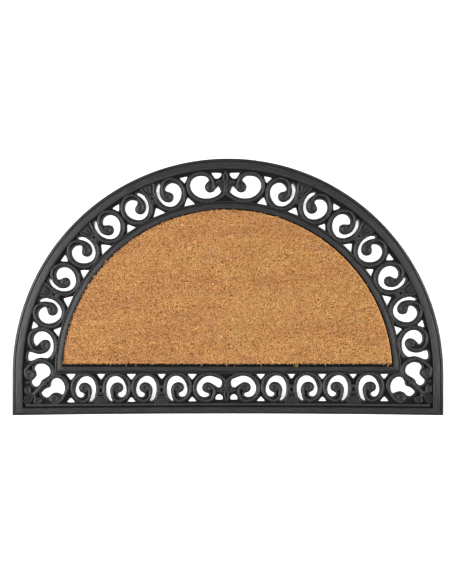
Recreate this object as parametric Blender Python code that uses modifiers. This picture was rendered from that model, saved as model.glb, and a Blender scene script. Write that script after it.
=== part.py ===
"""A half-moon doormat: a moulded rubber mat with a scrollwork border, and a coir panel that lies in its tray.

Metres, +Z up. The straight edge runs along X on the -Y side and the arch rises towards +Y. The origin is on the
floor, at the middle of the mat's outer size. Sizes in the tables below are millimetres, because a mould maker
reads them that way; MM turns them into metres.
"""

import math

import bmesh
import bpy
from mathutils import Matrix

MM = 0.001

# Plan of the mat
ARCH_RADIUS = 375.0
STRAIGHT_SIDE = 72.0  # from the arch's centre down to the straight edge
CENTRE_Y = (STRAIGHT_SIDE - ARCH_RADIUS) / 2  # puts the origin in the middle
EDGE_BOW = 3.0  # the straight edge shrinks inwards by this much at its middle
ARCH_STEPS = 32
EDGE_STEPS = 4

# Heights above the floor
WEB_TOP = 4.5
WEB_ROOT = 1.8  # raised pieces start this deep inside the web
BEAD_RADIUS = 3.5
BEAD_AXIS = 4.05
TRAY_FLOOR = 3.0
CLASP_TOP = 6.4
KNOB_TOP = 7.9
PLATE_ROOT = -1.0  # the plate starts under the floor, the rims a little deeper, and all are cut flat last
RIM_ROOT = -1.5

# Outer border, from the rim inwards: inset on the arch, inset on the straight edge, height
BORDER = (
    (0.0, 0.0, RIM_ROOT),
    (0.0, 0.0, 2.8),
    (5.2, 3.2, 4.0),
    (6.6, 4.4, 7.4),
    (16.6, 11.4, 8.6),
    (18.8, 13.0, 7.6),
    (18.8, 13.0, RIM_ROOT),
)

# Inner frame round the coir: arch radius, height of its flat side over the arch's centre, height above the floor
FRAME = (
    (301.0, 0.3, RIM_ROOT),
    (301.0, 0.3, 6.0),
    (297.8, 3.4, 6.3),
    (296.6, 4.6, 5.0),
    (295.0, 6.4, 7.6),
    (284.0, 17.6, 8.3),
    (284.0, 17.6, RIM_ROOT),
)
TRAY_RADIUS = 287.4
TRAY_FLAT = 14.6

# Coir panel
COIR_GAP = 0.3
COIR_TOP = 14.0
COIR_ROUND = 2.0

# Where the scrolls stand. Each scroll has its own frame: +x points at the clasp that holds it, +y at the border.
SCROLL_RADIUS = 328.0
FIRST_SCROLL = 17.0  # degrees from the top
CLASP_PITCH = 11.35
TOUCH_PITCH = 9.85
ARCH_SCROLLS = 6
ROW_Y = -25.6  # the straight row, under the arch's centre
ROW_STRETCH = 1.037  # outwards, to make up for the bow of the edge
FIRST_ROW_SCROLL = 85.3  # from the middle
ROW_CLASP_PITCH = 55.3
ROW_TOUCH_PITCH = 51.2
ROW_SCROLLS = 4

# A scroll's opening is cut between the ring round it and the curl that grows out of the ring. Both edges are
# given as turn in degrees and radius. "ring" is read clockwise from the clasp, "curl" anticlockwise round the knob.
ARCH_SCROLL = {
    "ring_at": (1.4, -1.0),
    "ring": (
        (62, 28.2), (35, 25.4), (10, 21.8), (-25, 19.6), (-60, 19.8), (-90, 20.0), (-122, 18.9), (-155, 19.1),
        (-185, 20.8), (-212, 21.9), (-237, 21.7), (-257, 19.6), (-278, 16.0), (-300, 12.2),
    ),
    "knob_at": (5.9, -2.4),
    "curl": (
        (84, 11.2), (102, 8.5), (138, 8.8), (178, 10.1), (218, 10.6), (255, 10.8), (295, 10.3), (335, 10.4),
        (366, 12.3), (392, 14.8), (414, 18.4), (430, 22.8), (436, 24.8),
    ),
    "bead_at": (0.9, 0.0),
    "bead": (
        (25, 27.0), (-15, 26.5), (-55, 26.2), (-95, 25.9), (-135, 25.7), (-175, 25.6), (-215, 26.8), (-250, 27.6),
        (-275, 25.2), (-303, 19.4), (-335, 14.2), (-372, 8.4),
    ),
    "knob_radius": 7.4,
    "tail": (),
}
ROW_SCROLL = {
    "ring_at": (0.7, -2.8),
    "ring": (
        (70, 26.6), (48, 23.4), (25, 19.4), (0, 17.7), (-32, 17.9), (-62, 19.1), (-90, 19.0), (-120, 17.3),
        (-150, 16.2), (-178, 17.0), (-208, 19.6), (-232, 21.0), (-246, 19.4), (-258, 15.6),
    ),
    "knob_at": (-1.6, -1.0),
    "curl": (
        (92, 9.2), (108, 8.6), (140, 9.3), (180, 10.2), (220, 10.2), (260, 10.2), (300, 10.5), (340, 11.6),
        (368, 13.3), (393, 15.6), (412, 18.4), (424, 21.6), (429, 24.4),
    ),
    "bead_at": (-0.5, -2.1),
    "bead": (
        (42, 26.6), (8, 22.6), (-32, 22.8), (-72, 23.6), (-112, 23.5), (-152, 22.9), (-192, 22.9), (-230, 23.9),
        (-264, 24.0), (-292, 19.8), (-325, 13.0), (-368, 7.2),
    ),
    "knob_radius": 7.4,
    "tail": (),
}
# The pairs beside the two middle posts. Their frames point +x at the middle of the mat.
TOP_PAIR_AT = (38.5, 324.7)
TOP_PAIR = {
    "ring_at": (3.5, 1.7),
    "ring": (
        (-18, 28.6), (-45, 23.5), (-68, 20.8), (-94, 19.9), (-122, 20.9), (-150, 23.3), (-175, 26.1),
        (-197, 27.0), (-220, 25.2), (-248, 20.7), (-270, 18.2), (-292, 14.6),
    ),
    "knob_at": (11.5, 1.0),
    "curl": (
        (100, 11.5), (118, 10.3), (155, 9.8), (195, 9.4), (235, 9.4), (275, 9.4), (315, 9.4), (342, 9.8),
        (366, 13.2),
    ),
    "bead_at": (3.5, 1.7),
    "bead": (
        (-30, 33.0), (-62, 27.0), (-98, 25.2), (-132, 26.8), (-165, 30.2), (-196, 31.6), (-226, 29.4),
        (-260, 24.8), (-295, 20.0), (-328, 14.8), (-360, 10.4),
    ),
    "knob_radius": 7.4,
    "tail": ((24.6, 3.7), (27.3, 2.1), (28.9, -2.8)),
}
ROW_PAIR_AT = 34.3
ROW_PAIR = {
    "ring_at": (3.5, 0.0),
    "ring": (
        (-24, 25.0), (-33, 26.0), (-55, 22.6), (-86, 21.4), (-115, 20.6), (-145, 20.0), (-175, 20.7),
        (-204, 20.7), (-232, 18.9), (-256, 15.4), (-275, 11.8),
    ),
    "knob_at": (1.6, -0.9),
    "curl": (
        (76, 11.0), (92, 9.2), (125, 9.4), (165, 9.9), (205, 9.9), (245, 9.9), (285, 10.0), (322, 11.1),
        (346, 14.0), (360, 18.0),
    ),
    "bead_at": (3.5, 0.0),
    "bead": (
        (-30, 31.0), (-65, 27.2), (-103, 25.7), (-140, 25.2), (-178, 25.6), (-214, 25.5), (-248, 23.4),
        (-282, 20.0), (-318, 15.6), (-355, 10.6), (-390, 7.0),
    ),
    "knob_radius": 7.4,
    "tail": ((23.8, -1.4), (25.8, -5.6)),
}
# The last scroll at each foot of the arch. Its frame points +x outwards and +y up the arch.
FOOT_AT = (324.4, 51.2)
FOOT_SCROLL = {
    "ring_at": (-3.5, 3.5),
    "ring": (
        (-105, 27.0), (-132, 23.2), (-158, 19.2), (-186, 17.5), (-214, 17.3), (-242, 18.7), (-270, 20.6),
        (-298, 21.4), (-325, 20.0), (-352, 17.0), (-381, 13.2),
    ),
    "knob_at": (-6.3, 0.5),
    "curl": (
        (7, 12.0), (36, 9.9), (74, 9.8), (112, 10.3), (150, 10.2), (190, 9.8), (230, 10.8), (262, 13.2),
        (290, 16.6), (312, 21.0), (330, 25.6), (338, 29.8),
    ),
    "bead_at": (-3.5, 3.5),
    "bead": (
        (-118, 31.0), (-148, 26.0), (-182, 23.2), (-217, 22.8), (-252, 24.8), (-288, 27.2), (-322, 27.8),
        (-355, 25.0), (-388, 21.0), (-420, 16.6), (-460, 11.0),
    ),
    "knob_radius": 7.4,
    "tail": (
        (22.5, -12.6), (24.0, -20.2), (23.0, -26.3), (17.6, -27.0), (7.1, -21.9), (-0.6, -20.8),
    ),
}
# The two lobes at each corner, on either side of a stem that runs out to the corner. Their frame points +x
# outwards and +y up. "lobe" goes round the lobe, "knob" round its curled end, and "tail" back along the stem.
CORNER_AT = (319.7, -18.5)
UPPER_LOBE = {
    "lobe_at": (2.6, 24.4),
    "lobe": (
        (-127, 12.2), (-165, 13.7), (-205, 13.1), (-245, 12.8), (-285, 13.8), (-314, 15.5), (-344, 15.5),
    ),
    "knob_at": (24.9, 20.0),
    "knob": ((131, 11.5), (160, 11.3), (192, 11.9), (232, 11.0), (260, 13.2)),
    "tail": ((21.3, 2.1), (18.1, -1.7), (14.3, -2.8), (9.9, -0.7), (7.1, 3.1), (5.6, 8.0), (1.7, 10.8)),
    "bead": (
        (-150, 20.4), (-184, 19.4), (-220, 18.6), (-256, 18.6), (-292, 21.4), (-328, 27.0), (-366, 31.0),
    ),
}
LOWER_LOBE = {
    "lobe_at": (-22.6, -0.9),
    "lobe": (
        (5, 10.5), (40, 12.0), (80, 13.6), (120, 12.7), (165, 12.7), (205, 15.2), (241, 19.3),
    ),
    "knob_at": (-19.7, -24.4),
    "knob": ((152, 13.9), (126, 12.4), (90, 11.7), (49, 11.2), (24, 11.5), (9, 14.6)),
    "tail": ((-0.4, -20.7), (4.5, -15.9), (5.1, -13.2), (0.7, -8.7), (-4.8, -5.2), (-10.3, -3.9)),
    "bead": (
        (45, 17.0), (80, 18.6), (118, 18.2), (156, 18.0), (193, 19.8), (230, 25.2), (264, 31.0),
    ),
}
LOBE_KNOB_RADIUS = 7.8

# Three-cornered openings between neighbouring scrolls: half width at the base, base and tip outwards from the row.
# The inner ones run in under the inner frame, whose wall is their base.
ARCH_TOUCH_OUTER = (7.4, 23.2, 11.8)
ARCH_TOUCH_INNER = (10.6, -29.5, -14.6)
ARCH_CLASP_INNER = (13.0, -29.5, -13.0)
TOP_TOUCH_INNER = (11.6, -29.5, -12.2)
ROW_TOUCH_OUTER = (7.4, 22.9, 14.2)
ROW_TOUCH_INNER = (10.8, -28.2, -14.6)
ROW_CLASP_INNER = (9.6, -28.2, -15.4)

# Openings beside the middle posts, x from the middle of the mat and y in the row's own frame
TOP_POST_OPENING = ((25.1, 23.3), (7.1, 22.7), (7.8, 17.6), (12.9, 12.9), (18.5, 12.9))
ROW_POST_OPENING = (
    (19.5, 20.2), (6.4, 20.2), (6.4, 15.7), (8.6, 12.4), (11.8, 10.3), (15.2, 10.8), (18.5, 14.6),
)

# Clasps: a tie between two rings, which widens into a pedestal at the border. Half width and place outwards
ARCH_CLASP = ((6.2, -7.0), (5.2, 0.0), (7.0, 10.5), (11.0, 18.0), (14.4, 24.0), (14.4, 30.0))
ROW_CLASP = ((6.0, -6.0), (5.7, 0.0), (7.0, 5.6), (9.0, 17.0), (12.0, 23.0), (12.6, 28.0))

# Ridge along the straight edge, between the row and the border
RIDGE_INSET = 17.4
RIDGE_HALF = 1.9
RIDGE_TOP = 6.6
RIDGE_END = 346.0


def polar(centre, rows):
    return [
        (centre[0] + radius * math.cos(math.radians(turn)), centre[1] + radius * math.sin(math.radians(turn)))
        for turn, radius in rows
    ]


def bowed(point):
    """Moves a point of the straight side up with the bow of the edge, in full at the edge and not at the frame."""
    x, y = point
    depth = min(max((CENTRE_Y - y) / STRAIGHT_SIDE, 0.0), 1.0)
    return x, y + EDGE_BOW * depth * (1 - (x / ARCH_RADIUS) ** 2)


def place(points, origin, along, out):
    """Points of a local frame put on the mat."""
    return [
        bowed((origin[0] + x * along[0] + y * out[0], origin[1] + x * along[1] + y * out[1])) for x, y in points
    ]


def arch_frame(degrees, side, towards=1):
    """Origin, direction along the arch and direction outwards, at an angle from the top."""
    turn = math.radians(degrees)
    origin = (side * SCROLL_RADIUS * math.sin(turn), CENTRE_Y + SCROLL_RADIUS * math.cos(turn))
    along = (side * towards * math.cos(turn), -towards * math.sin(turn))
    out = (side * math.sin(turn), math.cos(turn))
    return origin, along, out


def row_frame(x, side, towards=1):
    return (side * x, CENTRE_Y + ROW_Y), (side * towards, 0.0), (0.0, -ROW_STRETCH)


def upright_frame(at, side, towards):
    """A frame with +y up the mat, and +x outwards (towards 1) or at the middle (towards -1)."""
    return (side * at[0], CENTRE_Y + at[1]), (side * towards, 0.0), (0.0, 1.0)


def opening_of(scroll):
    return polar(scroll["ring_at"], scroll["ring"]) + polar(scroll["knob_at"], scroll["curl"]) + list(scroll["tail"])


def lobe_opening(lobe):
    return polar(lobe["lobe_at"], lobe["lobe"]) + polar(lobe["knob_at"], lobe["knob"]) + list(lobe["tail"])


def triangle(half, base, tip):
    return [(-half, base), (half, base), (0.0, tip)]


def outline(radius, flat):
    """The mat's half-moon outline at a radius, cut off by a straight side at a height over the arch's centre."""
    start = math.asin(flat / radius) if flat > 0 else 0.0
    points = []
    for i in range(ARCH_STEPS + 1):
        turn = start + (math.pi - 2 * start) * i / ARCH_STEPS
        points.append((radius * math.cos(turn), CENTRE_Y + radius * math.sin(turn)))
    half = math.sqrt(radius**2 - flat**2) if flat > 0 else radius
    first = 0 if flat <= 0 else 1
    last = EDGE_STEPS if flat <= 0 else EDGE_STEPS - 1
    for i in range(first, last + 1):
        points.append(bowed((-half + 2 * half * i / EDGE_STEPS, CENTRE_Y + flat)))
    return points


def clear_scene():
    for obj in list(bpy.data.objects):
        bpy.data.objects.remove(obj, do_unlink=True)


def new_collection(name):
    made = bpy.data.collections.new(name)
    bpy.context.scene.collection.children.link(made)
    return made


def new_material(name, colour, roughness):
    made = bpy.data.materials.new(name)
    made.use_nodes = True
    shader = made.node_tree.nodes["Principled BSDF"]
    shader.inputs["Base Color"].default_value = (*colour, 1.0)
    shader.inputs["Roughness"].default_value = roughness
    shader.inputs["Metallic"].default_value = 0.0
    return made


def add_object(name, mesh, group, helper=False):
    made = bpy.data.objects.new(name, mesh)
    group.objects.link(made)
    if helper:
        made.hide_render = True
        made.display_type = "WIRE"
    return made


def mesh_of_curve(name, curve):
    """The curve as a closed mesh, with its caps welded on and its faces outwards."""
    guide = bpy.data.objects.new(name, curve)
    bpy.context.scene.collection.objects.link(guide)
    graph = bpy.context.evaluated_depsgraph_get()
    mesh = bpy.data.meshes.new_from_object(guide.evaluated_get(graph))
    bpy.data.objects.remove(guide, do_unlink=True)
    work = bmesh.new()
    work.from_mesh(mesh)
    bmesh.ops.remove_doubles(work, verts=work.verts, dist=1e-6)
    if curve.dimensions == "2D":
        bmesh.ops.dissolve_limit(work, angle_limit=0.005, verts=work.verts, edges=work.edges)
    else:
        bmesh.ops.connect_verts_nonplanar(work, faces=work.faces, angle_limit=0.0005)
    bmesh.ops.recalc_face_normals(work, faces=work.faces)
    work.to_mesh(mesh)
    work.free()
    mesh.name = name
    return mesh


def slab(name, points, bottom, top, group, helper=True):
    """A flat outline in millimetres, filled and extruded between two heights."""
    curve = bpy.data.curves.new(name, "CURVE")
    curve.dimensions = "2D"
    curve.fill_mode = "BOTH"
    curve.extrude = (top - bottom) / 2 * MM
    spline = curve.splines.new("POLY")
    spline.points.add(len(points) - 1)
    for item, (x, y) in zip(spline.points, points):
        item.co = (x * MM, y * MM, 0.0, 1.0)
    spline.use_cyclic_u = True
    mesh = mesh_of_curve(name, curve)
    mesh.transform(Matrix.Translation((0.0, 0.0, (top + bottom) / 2 * MM)))
    return add_object(name, mesh, group, helper)


def bead(name, points, group, radius=BEAD_RADIUS, height=BEAD_AXIS):
    """A round bead that stands half out of the web."""
    curve = bpy.data.curves.new(name, "CURVE")
    curve.dimensions = "3D"
    curve.twist_mode = "Z_UP"
    curve.bevel_depth = radius * MM
    curve.bevel_resolution = 0
    curve.use_fill_caps = True
    spline = curve.splines.new("POLY")
    spline.points.add(len(points) - 1)
    for item, (x, y) in zip(spline.points, points):
        item.co = (x * MM, y * MM, height * MM, 1.0)
    return add_object(name, mesh_of_curve(name, curve), group, True)


def knob(name, at, radius, group, top=KNOB_TOP, stretch=1.0, turn=0.0):
    """A low round boss, or an oval one, that a curl ends in."""
    work = bmesh.new()
    depth = top - WEB_ROOT
    bmesh.ops.create_cone(
        work, cap_ends=True, segments=8, radius1=radius * MM, radius2=radius * 0.6 * MM, depth=depth * MM
    )
    shape = Matrix.Diagonal((stretch, 1.0, 1.0, 1.0))
    move = Matrix.Translation((at[0] * MM, at[1] * MM, (WEB_ROOT + depth / 2) * MM))
    bmesh.ops.transform(work, matrix=move @ Matrix.Rotation(turn, 4, "Z") @ shape, verts=work.verts)
    mesh = bpy.data.meshes.new(name)
    work.to_mesh(mesh)
    work.free()
    return add_object(name, mesh, group, True)


def rim(name, rows, group):
    """A closed ring lofted through outlines, each row a radius, a flat side's height and a height."""
    work = bmesh.new()
    loops = []
    for radius, flat, height in rows:
        loops.append([work.verts.new((x * MM, y * MM, height * MM)) for x, y in outline(radius, flat)])
    count = len(loops[0])
    for k, loop in enumerate(loops):
        after = loops[(k + 1) % len(loops)]
        for i in range(count):
            j = (i + 1) % count
            work.faces.new((loop[i], loop[j], after[j], after[i]))
    bmesh.ops.connect_verts_nonplanar(work, faces=work.faces, angle_limit=0.0005)
    bmesh.ops.recalc_face_normals(work, faces=work.faces)
    mesh = bpy.data.meshes.new(name)
    work.to_mesh(mesh)
    work.free()
    return add_object(name, mesh, group, True)


def add_boolean(target, name, operation, group):
    step = target.modifiers.new(name, "BOOLEAN")
    step.operation = operation
    step.operand_type = "COLLECTION"
    step.collection = group
    step.solver = "EXACT"
    return step


def add_scroll(name, scroll, frame, openings, raised):
    slab(name + "_opening", place(opening_of(scroll), *frame), -3.0, 20.0, openings)
    bead(name + "_bead", place(polar(scroll["bead_at"], scroll["bead"]), *frame), raised)
    at = place([scroll["knob_at"]], *frame)[0]
    knob(name + "_knob", at, scroll["knob_radius"], raised)


def add_lobe(name, lobe, frame, openings, raised):
    slab(name + "_opening", place(lobe_opening(lobe), *frame), -3.0, 20.0, openings)
    bead(name + "_bead", place(polar(lobe["lobe_at"], lobe["bead"]), *frame), raised)
    knob(name + "_knob", place([lobe["knob_at"]], *frame)[0], LOBE_KNOB_RADIUS, raised)


def add_triangle(name, sizes, frame, openings):
    slab(name, place(triangle(*sizes), *frame), -3.0, 20.0, openings)


def add_clasp(name, frame, profile, raised):
    half = list(profile)
    whole = half + [(-x, y) for x, y in reversed(half)]
    slab(name, place(whole, *frame), WEB_ROOT, CLASP_TOP, raised)


def build_arch(side, tag, openings, raised):
    angles = [FIRST_SCROLL]
    for i in range(1, ARCH_SCROLLS):
        angles.append(angles[-1] + (CLASP_PITCH if i % 2 else TOUCH_PITCH))
    for i, angle in enumerate(angles):
        add_scroll(f"arch{i}{tag}", ARCH_SCROLL, arch_frame(angle, side, 1 if i % 2 == 0 else -1), openings, raised)
    stops = angles + [angles[-1] + TOUCH_PITCH]
    for i in range(len(angles)):
        middle = (stops[i] + stops[i + 1]) / 2
        frame = arch_frame(middle, side)
        if i % 2 == 0:
            add_clasp(f"arch_clasp{i}{tag}", frame, ARCH_CLASP, raised)
            add_triangle(f"arch_in{i}{tag}", ARCH_CLASP_INNER, frame, openings)
        else:
            add_triangle(f"arch_in{i}{tag}", ARCH_TOUCH_INNER, frame, openings)
            add_triangle(f"arch_out{i}{tag}", ARCH_TOUCH_OUTER, frame, openings)
    top_touch = arch_frame(FIRST_SCROLL - TOUCH_PITCH / 2, side)
    add_triangle(f"top_in{tag}", TOP_TOUCH_INNER, top_touch, openings)
    add_triangle(f"top_out{tag}", ARCH_TOUCH_OUTER, top_touch, openings)
    add_scroll(f"top_pair{tag}", TOP_PAIR, upright_frame(TOP_PAIR_AT, side, -1), openings, raised)
    add_scroll(f"foot{tag}", FOOT_SCROLL, upright_frame(FOOT_AT, side, 1), openings, raised)
    top = ((0.0, CENTRE_Y + SCROLL_RADIUS), (side, 0.0), (0.0, 1.0))
    slab(f"top_post_opening{tag}", place(TOP_POST_OPENING, *top), -3.0, 20.0, openings)


def build_row(side, tag, openings, raised):
    places = [FIRST_ROW_SCROLL]
    for i in range(1, ROW_SCROLLS):
        places.append(places[-1] + (ROW_CLASP_PITCH if i % 2 else ROW_TOUCH_PITCH))
    for i, x in enumerate(places):
        add_scroll(f"row{i}{tag}", ROW_SCROLL, row_frame(x, side, 1 if i % 2 == 0 else -1), openings, raised)
    stops = [places[0] - ROW_TOUCH_PITCH] + places + [places[-1] + ROW_TOUCH_PITCH]
    for i in range(len(stops) - 1):
        frame = row_frame((stops[i] + stops[i + 1]) / 2, side)
        if i % 2:
            add_clasp(f"row_clasp{i}{tag}", frame, ROW_CLASP, raised)
            add_triangle(f"row_in{i}{tag}", ROW_CLASP_INNER, frame, openings)
        else:
            add_triangle(f"row_in{i}{tag}", ROW_TOUCH_INNER, frame, openings)
            add_triangle(f"row_out{i}{tag}", ROW_TOUCH_OUTER, frame, openings)
    add_scroll(f"row_pair{tag}", ROW_PAIR, row_frame(ROW_PAIR_AT, side, -1), openings, raised)
    slab(f"row_post_opening{tag}", place(ROW_POST_OPENING, *row_frame(0.0, side)), -3.0, 20.0, openings)


def build_corner(side, tag, openings, raised):
    """The corner: two lobes on either side of a stem, and a ribbed leaf between two petals at the stem's end."""
    frame = upright_frame(CORNER_AT, side, 1)
    add_lobe(f"upper_lobe{tag}", UPPER_LOBE, frame, openings, raised)
    add_lobe(f"lower_lobe{tag}", LOWER_LOBE, frame, openings, raised)
    bead(f"stem{tag}", place([(-17.0, 16.4), (-3.0, 4.6), (9.0, -7.4), (17.0, -15.2)], *frame), raised, 3.8, 4.5)
    for k, (shift, length) in enumerate(((-3.3, 14.4), (0.0, 17.3), (3.3, 14.4))):
        rib = [(reach + shift, 2.0 - reach + shift) for reach in (17.0, 17.0 + length)]
        bead(f"leaf{k}{tag}", place(rib, *frame), raised, 2.4, 4.3)
    knob(f"upper_petal{tag}", place([(28.2, -6.6)], *frame)[0], 6.4, raised, 7.2, 1.25, side * math.radians(-70))
    knob(f"lower_petal{tag}", place([(9.4, -26.6)], *frame)[0], 6.4, raised, 7.2, 1.25, side * math.radians(-20))


def build_posts(raised):
    """The two posts in the middle, and the bars that tie the pairs of scrolls to them."""
    top = ((0.0, CENTRE_Y + SCROLL_RADIUS), (1.0, 0.0), (0.0, 1.0))
    row = row_frame(0.0, 1)
    bead("top_post", place([(0.0, -16.0), (0.0, 4.0), (0.0, 29.5)], *top), raised, 4.0, 4.1)
    bead("row_post", place([(0.0, -21.0), (0.0, 2.0), (0.0, 26.0)], *row), raised, 3.4, 4.3)
    bead("top_bar", place([(-24.0, 7.0), (0.0, 6.2), (24.0, 7.0)], *top), raised, 3.2, 4.25)
    bead("row_bar", place([(-24.0, 5.0), (24.0, 5.0)], *row), raised, 3.0, 4.0)


def build_ridge(raised):
    low = CENTRE_Y - STRAIGHT_SIDE + RIDGE_INSET - RIDGE_HALF
    high = low + 2 * RIDGE_HALF
    steps = [RIDGE_END * (2 * i / EDGE_STEPS - 1) for i in range(EDGE_STEPS + 1)]
    line = [bowed((x, low)) for x in steps] + [bowed((x, high)) for x in reversed(steps)]
    slab("ridge", line, WEB_ROOT, RIDGE_TOP, raised)


def build_rubber(group, material):
    openings = new_collection("openings")
    raised = new_collection("raised")
    trims = new_collection("trims")
    inset = BORDER[3][0]
    base = slab("rubber_mat", outline(ARCH_RADIUS - inset, inset - STRAIGHT_SIDE), PLATE_ROOT, WEB_TOP, group, False)
    for side, tag in ((1, "_r"), (-1, "_l")):
        build_arch(side, tag, openings, raised)
        build_row(side, tag, openings, raised)
        build_corner(side, tag, openings, raised)
    build_posts(raised)
    build_ridge(raised)
    rim("border", [(ARCH_RADIUS - a, e - STRAIGHT_SIDE, h) for a, e, h in BORDER], raised)
    rim("inner_frame", FRAME, raised)
    slab("tray", outline(TRAY_RADIUS, TRAY_FLAT), TRAY_FLOOR, 20.0, trims)
    reach = ARCH_RADIUS + 20.0
    slab("underside", [(-reach, -reach), (reach, -reach), (reach, reach), (-reach, reach)], -9.0, 0.0, trims)
    add_boolean(base, "cut openings", "DIFFERENCE", openings)
    add_boolean(base, "raised work", "UNION", raised)
    add_boolean(base, "tray and underside", "DIFFERENCE", trims)
    base.data.materials.append(material)
    return base


def build_coir(group, material):
    """The coir panel lies in the tray, clear of the frame all round, and stands a little proud of it."""
    edge = outline(TRAY_RADIUS - COIR_GAP, TRAY_FLAT + COIR_GAP)
    made = slab("coir_panel", edge, TRAY_FLOOR + COIR_GAP, COIR_TOP, group, False)
    rounding = made.modifiers.new("rounded edges", "BEVEL")
    rounding.width = COIR_ROUND * MM
    rounding.segments = 2
    rounding.limit_method = "ANGLE"
    rounding.angle_limit = math.radians(50)
    made.data.materials.append(material)
    return made


def main():
    clear_scene()
    group = new_collection("half_moon_doormat")
    rubber = new_material("Moulded rubber", (0.030, 0.030, 0.031), 0.55)
    coir = new_material("Coir pile", (0.49, 0.27, 0.10), 0.95)
    build_rubber(group, rubber)
    build_coir(group, coir)


main()
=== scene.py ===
"""A half-moon doormat: moulded rubber scrollwork round a coir panel that lies in the mat's tray.

Laid out as an add-on. The sizes and colours that a user would change are properties, each group of pieces
has its operator, and main() calls them in order. Metres, +Z up. The tables are in millimetres, and MM turns
them into metres.
"""

import math
import random

import bmesh
import bpy
from mathutils import Matrix, Vector, geometry


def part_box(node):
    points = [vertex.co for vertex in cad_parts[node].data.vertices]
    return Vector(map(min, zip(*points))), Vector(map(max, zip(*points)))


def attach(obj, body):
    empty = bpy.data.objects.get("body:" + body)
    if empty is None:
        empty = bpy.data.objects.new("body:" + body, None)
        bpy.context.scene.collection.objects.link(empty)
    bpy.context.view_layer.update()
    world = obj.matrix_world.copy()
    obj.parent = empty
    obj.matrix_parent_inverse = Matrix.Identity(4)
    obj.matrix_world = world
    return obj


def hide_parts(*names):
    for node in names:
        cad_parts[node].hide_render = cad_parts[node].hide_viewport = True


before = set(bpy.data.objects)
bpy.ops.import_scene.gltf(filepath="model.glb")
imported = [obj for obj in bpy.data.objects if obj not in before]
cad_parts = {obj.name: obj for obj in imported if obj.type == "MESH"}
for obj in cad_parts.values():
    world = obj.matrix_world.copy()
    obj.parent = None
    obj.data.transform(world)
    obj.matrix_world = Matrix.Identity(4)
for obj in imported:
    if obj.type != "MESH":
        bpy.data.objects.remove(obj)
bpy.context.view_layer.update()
COIR_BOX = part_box("coir_panel")

bl_info = {
    "name": "Half-moon doormat",
    "version": (1, 0, 0),
    "blender": (4, 5, 0),
    "location": "3D View > Sidebar > Doormat",
    "description": "Makes a moulded rubber doormat with a scrollwork border and a coir panel",
    "category": "Object",
}

MM = 0.001

# Plan of the mat
ARCH_RADIUS = 375.0
STRAIGHT_SIDE = 72.0  # from the arch's centre down to the straight edge
CENTRE_Y = (STRAIGHT_SIDE - ARCH_RADIUS) / 2
EDGE_BOW = 3.0  # the straight edge shrinks inwards by this much at its middle
DRIFT_LEFT = -2.7  # how far the openwork sits off true in its rims, everywhere
DRIFT_TOP = -1.5  # and by how much more to the left at the top
DRIFT_FEET = 3.8  # to the right at the two feet of the arch
DRIFT_TURN = 1.4  # as a slight turn
DRIFT_DOWN = -1.1  # and down at the top
ARCH_STEPS = 240
EDGE_STEPS = 48

WEB_ROOT = 1.2  # raised pieces start this deep inside the web
TRAY_FLOOR = 3.0
LIFT = 0.05  # rims stop this far over the floor, clear of the web's own underside

# Outer border, from the rim inwards: inset on the arch, inset on the straight edge, height
BORDER = (
    (0.0, 0.0, LIFT), (0.0, 0.0, 2.0), (0.2, 0.15, 2.45), (0.7, 0.45, 2.75), (2.6, 1.6, 3.3),
    (4.0, 2.5, 3.7), (4.5, 2.85, 3.4), (5.0, 3.15, 2.2), (5.6, 3.5, 2.3), (6.0, 3.85, 5.6),
    (6.4, 4.1, 6.7), (7.0, 4.5, 7.1), (8.0, 5.2, 7.3), (15.2, 10.4, 8.6), (16.2, 11.2, 8.65),
    (17.3, 12.0, 8.3), (18.2, 12.7, 7.4), (18.7, 13.2, 6.0), (18.9, 13.4, 4.2), (18.9, 13.4, LIFT),
)
# Inner frame round the coir: arch radius, height of its flat side over the arch's centre, height
FRAME = (
    (301.2, 0.1, LIFT), (301.2, 0.1, 4.6), (301.0, 0.4, 5.5), (300.4, 0.8, 6.0), (299.6, 1.4, 6.1),
    (299.0, 2.0, 5.7), (298.6, 2.4, 4.9), (297.9, 3.2, 4.4), (297.2, 4.1, 4.6), (296.7, 4.9, 5.9),
    (296.1, 5.5, 6.8), (295.2, 6.4, 7.2), (290.0, 11.0, 7.75), (288.9, 12.0, 7.8), (287.9, 12.8, 7.4),
    (287.4, 13.4, 6.2), (287.4, 13.4, LIFT),
)
RIM_MAP = "along_and_across"  # the rims' own map, in metres
TRAY_RADIUS = 287.4
TRAY_FLAT = 14.6
WEB_INSET = (9.0, 6.5)  # the web ends this far in under the border, on the arch and on the straight side
TRAY_HOLE = 6.0  # the web's hole reaches this far beyond the tray, under the frame
TRAY_PLATE = 3.0  # and the tray's own floor this far
TRAY_ROUND = 0.3
RUBBER_ROUND = 0.5  # rounding of the clasps and posts
ROUNDING_MIDDLE = 0.3  # how far in and down its middle row lies, as a share of a rounding

# Where the scrolls stand. Each scroll has its own frame: +x points at the clasp that holds it and +y at the
# border.
SCROLL_RADIUS = 328.0
FIRST_SCROLL = 17.0  # degrees from the top
CLASP_PITCH = 11.35
TOUCH_PITCH = 9.85
ARCH_SCROLLS = 6
ROW_Y = -25.6  # the straight row, under the arch's centre
ROW_STRETCH = 1.037  # outwards, to make up for the bow of the edge
FIRST_ROW_SCROLL = 85.3
ROW_CLASP_PITCH = 55.3
ROW_TOUCH_PITCH = 51.2
ROW_SCROLLS = 4

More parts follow.
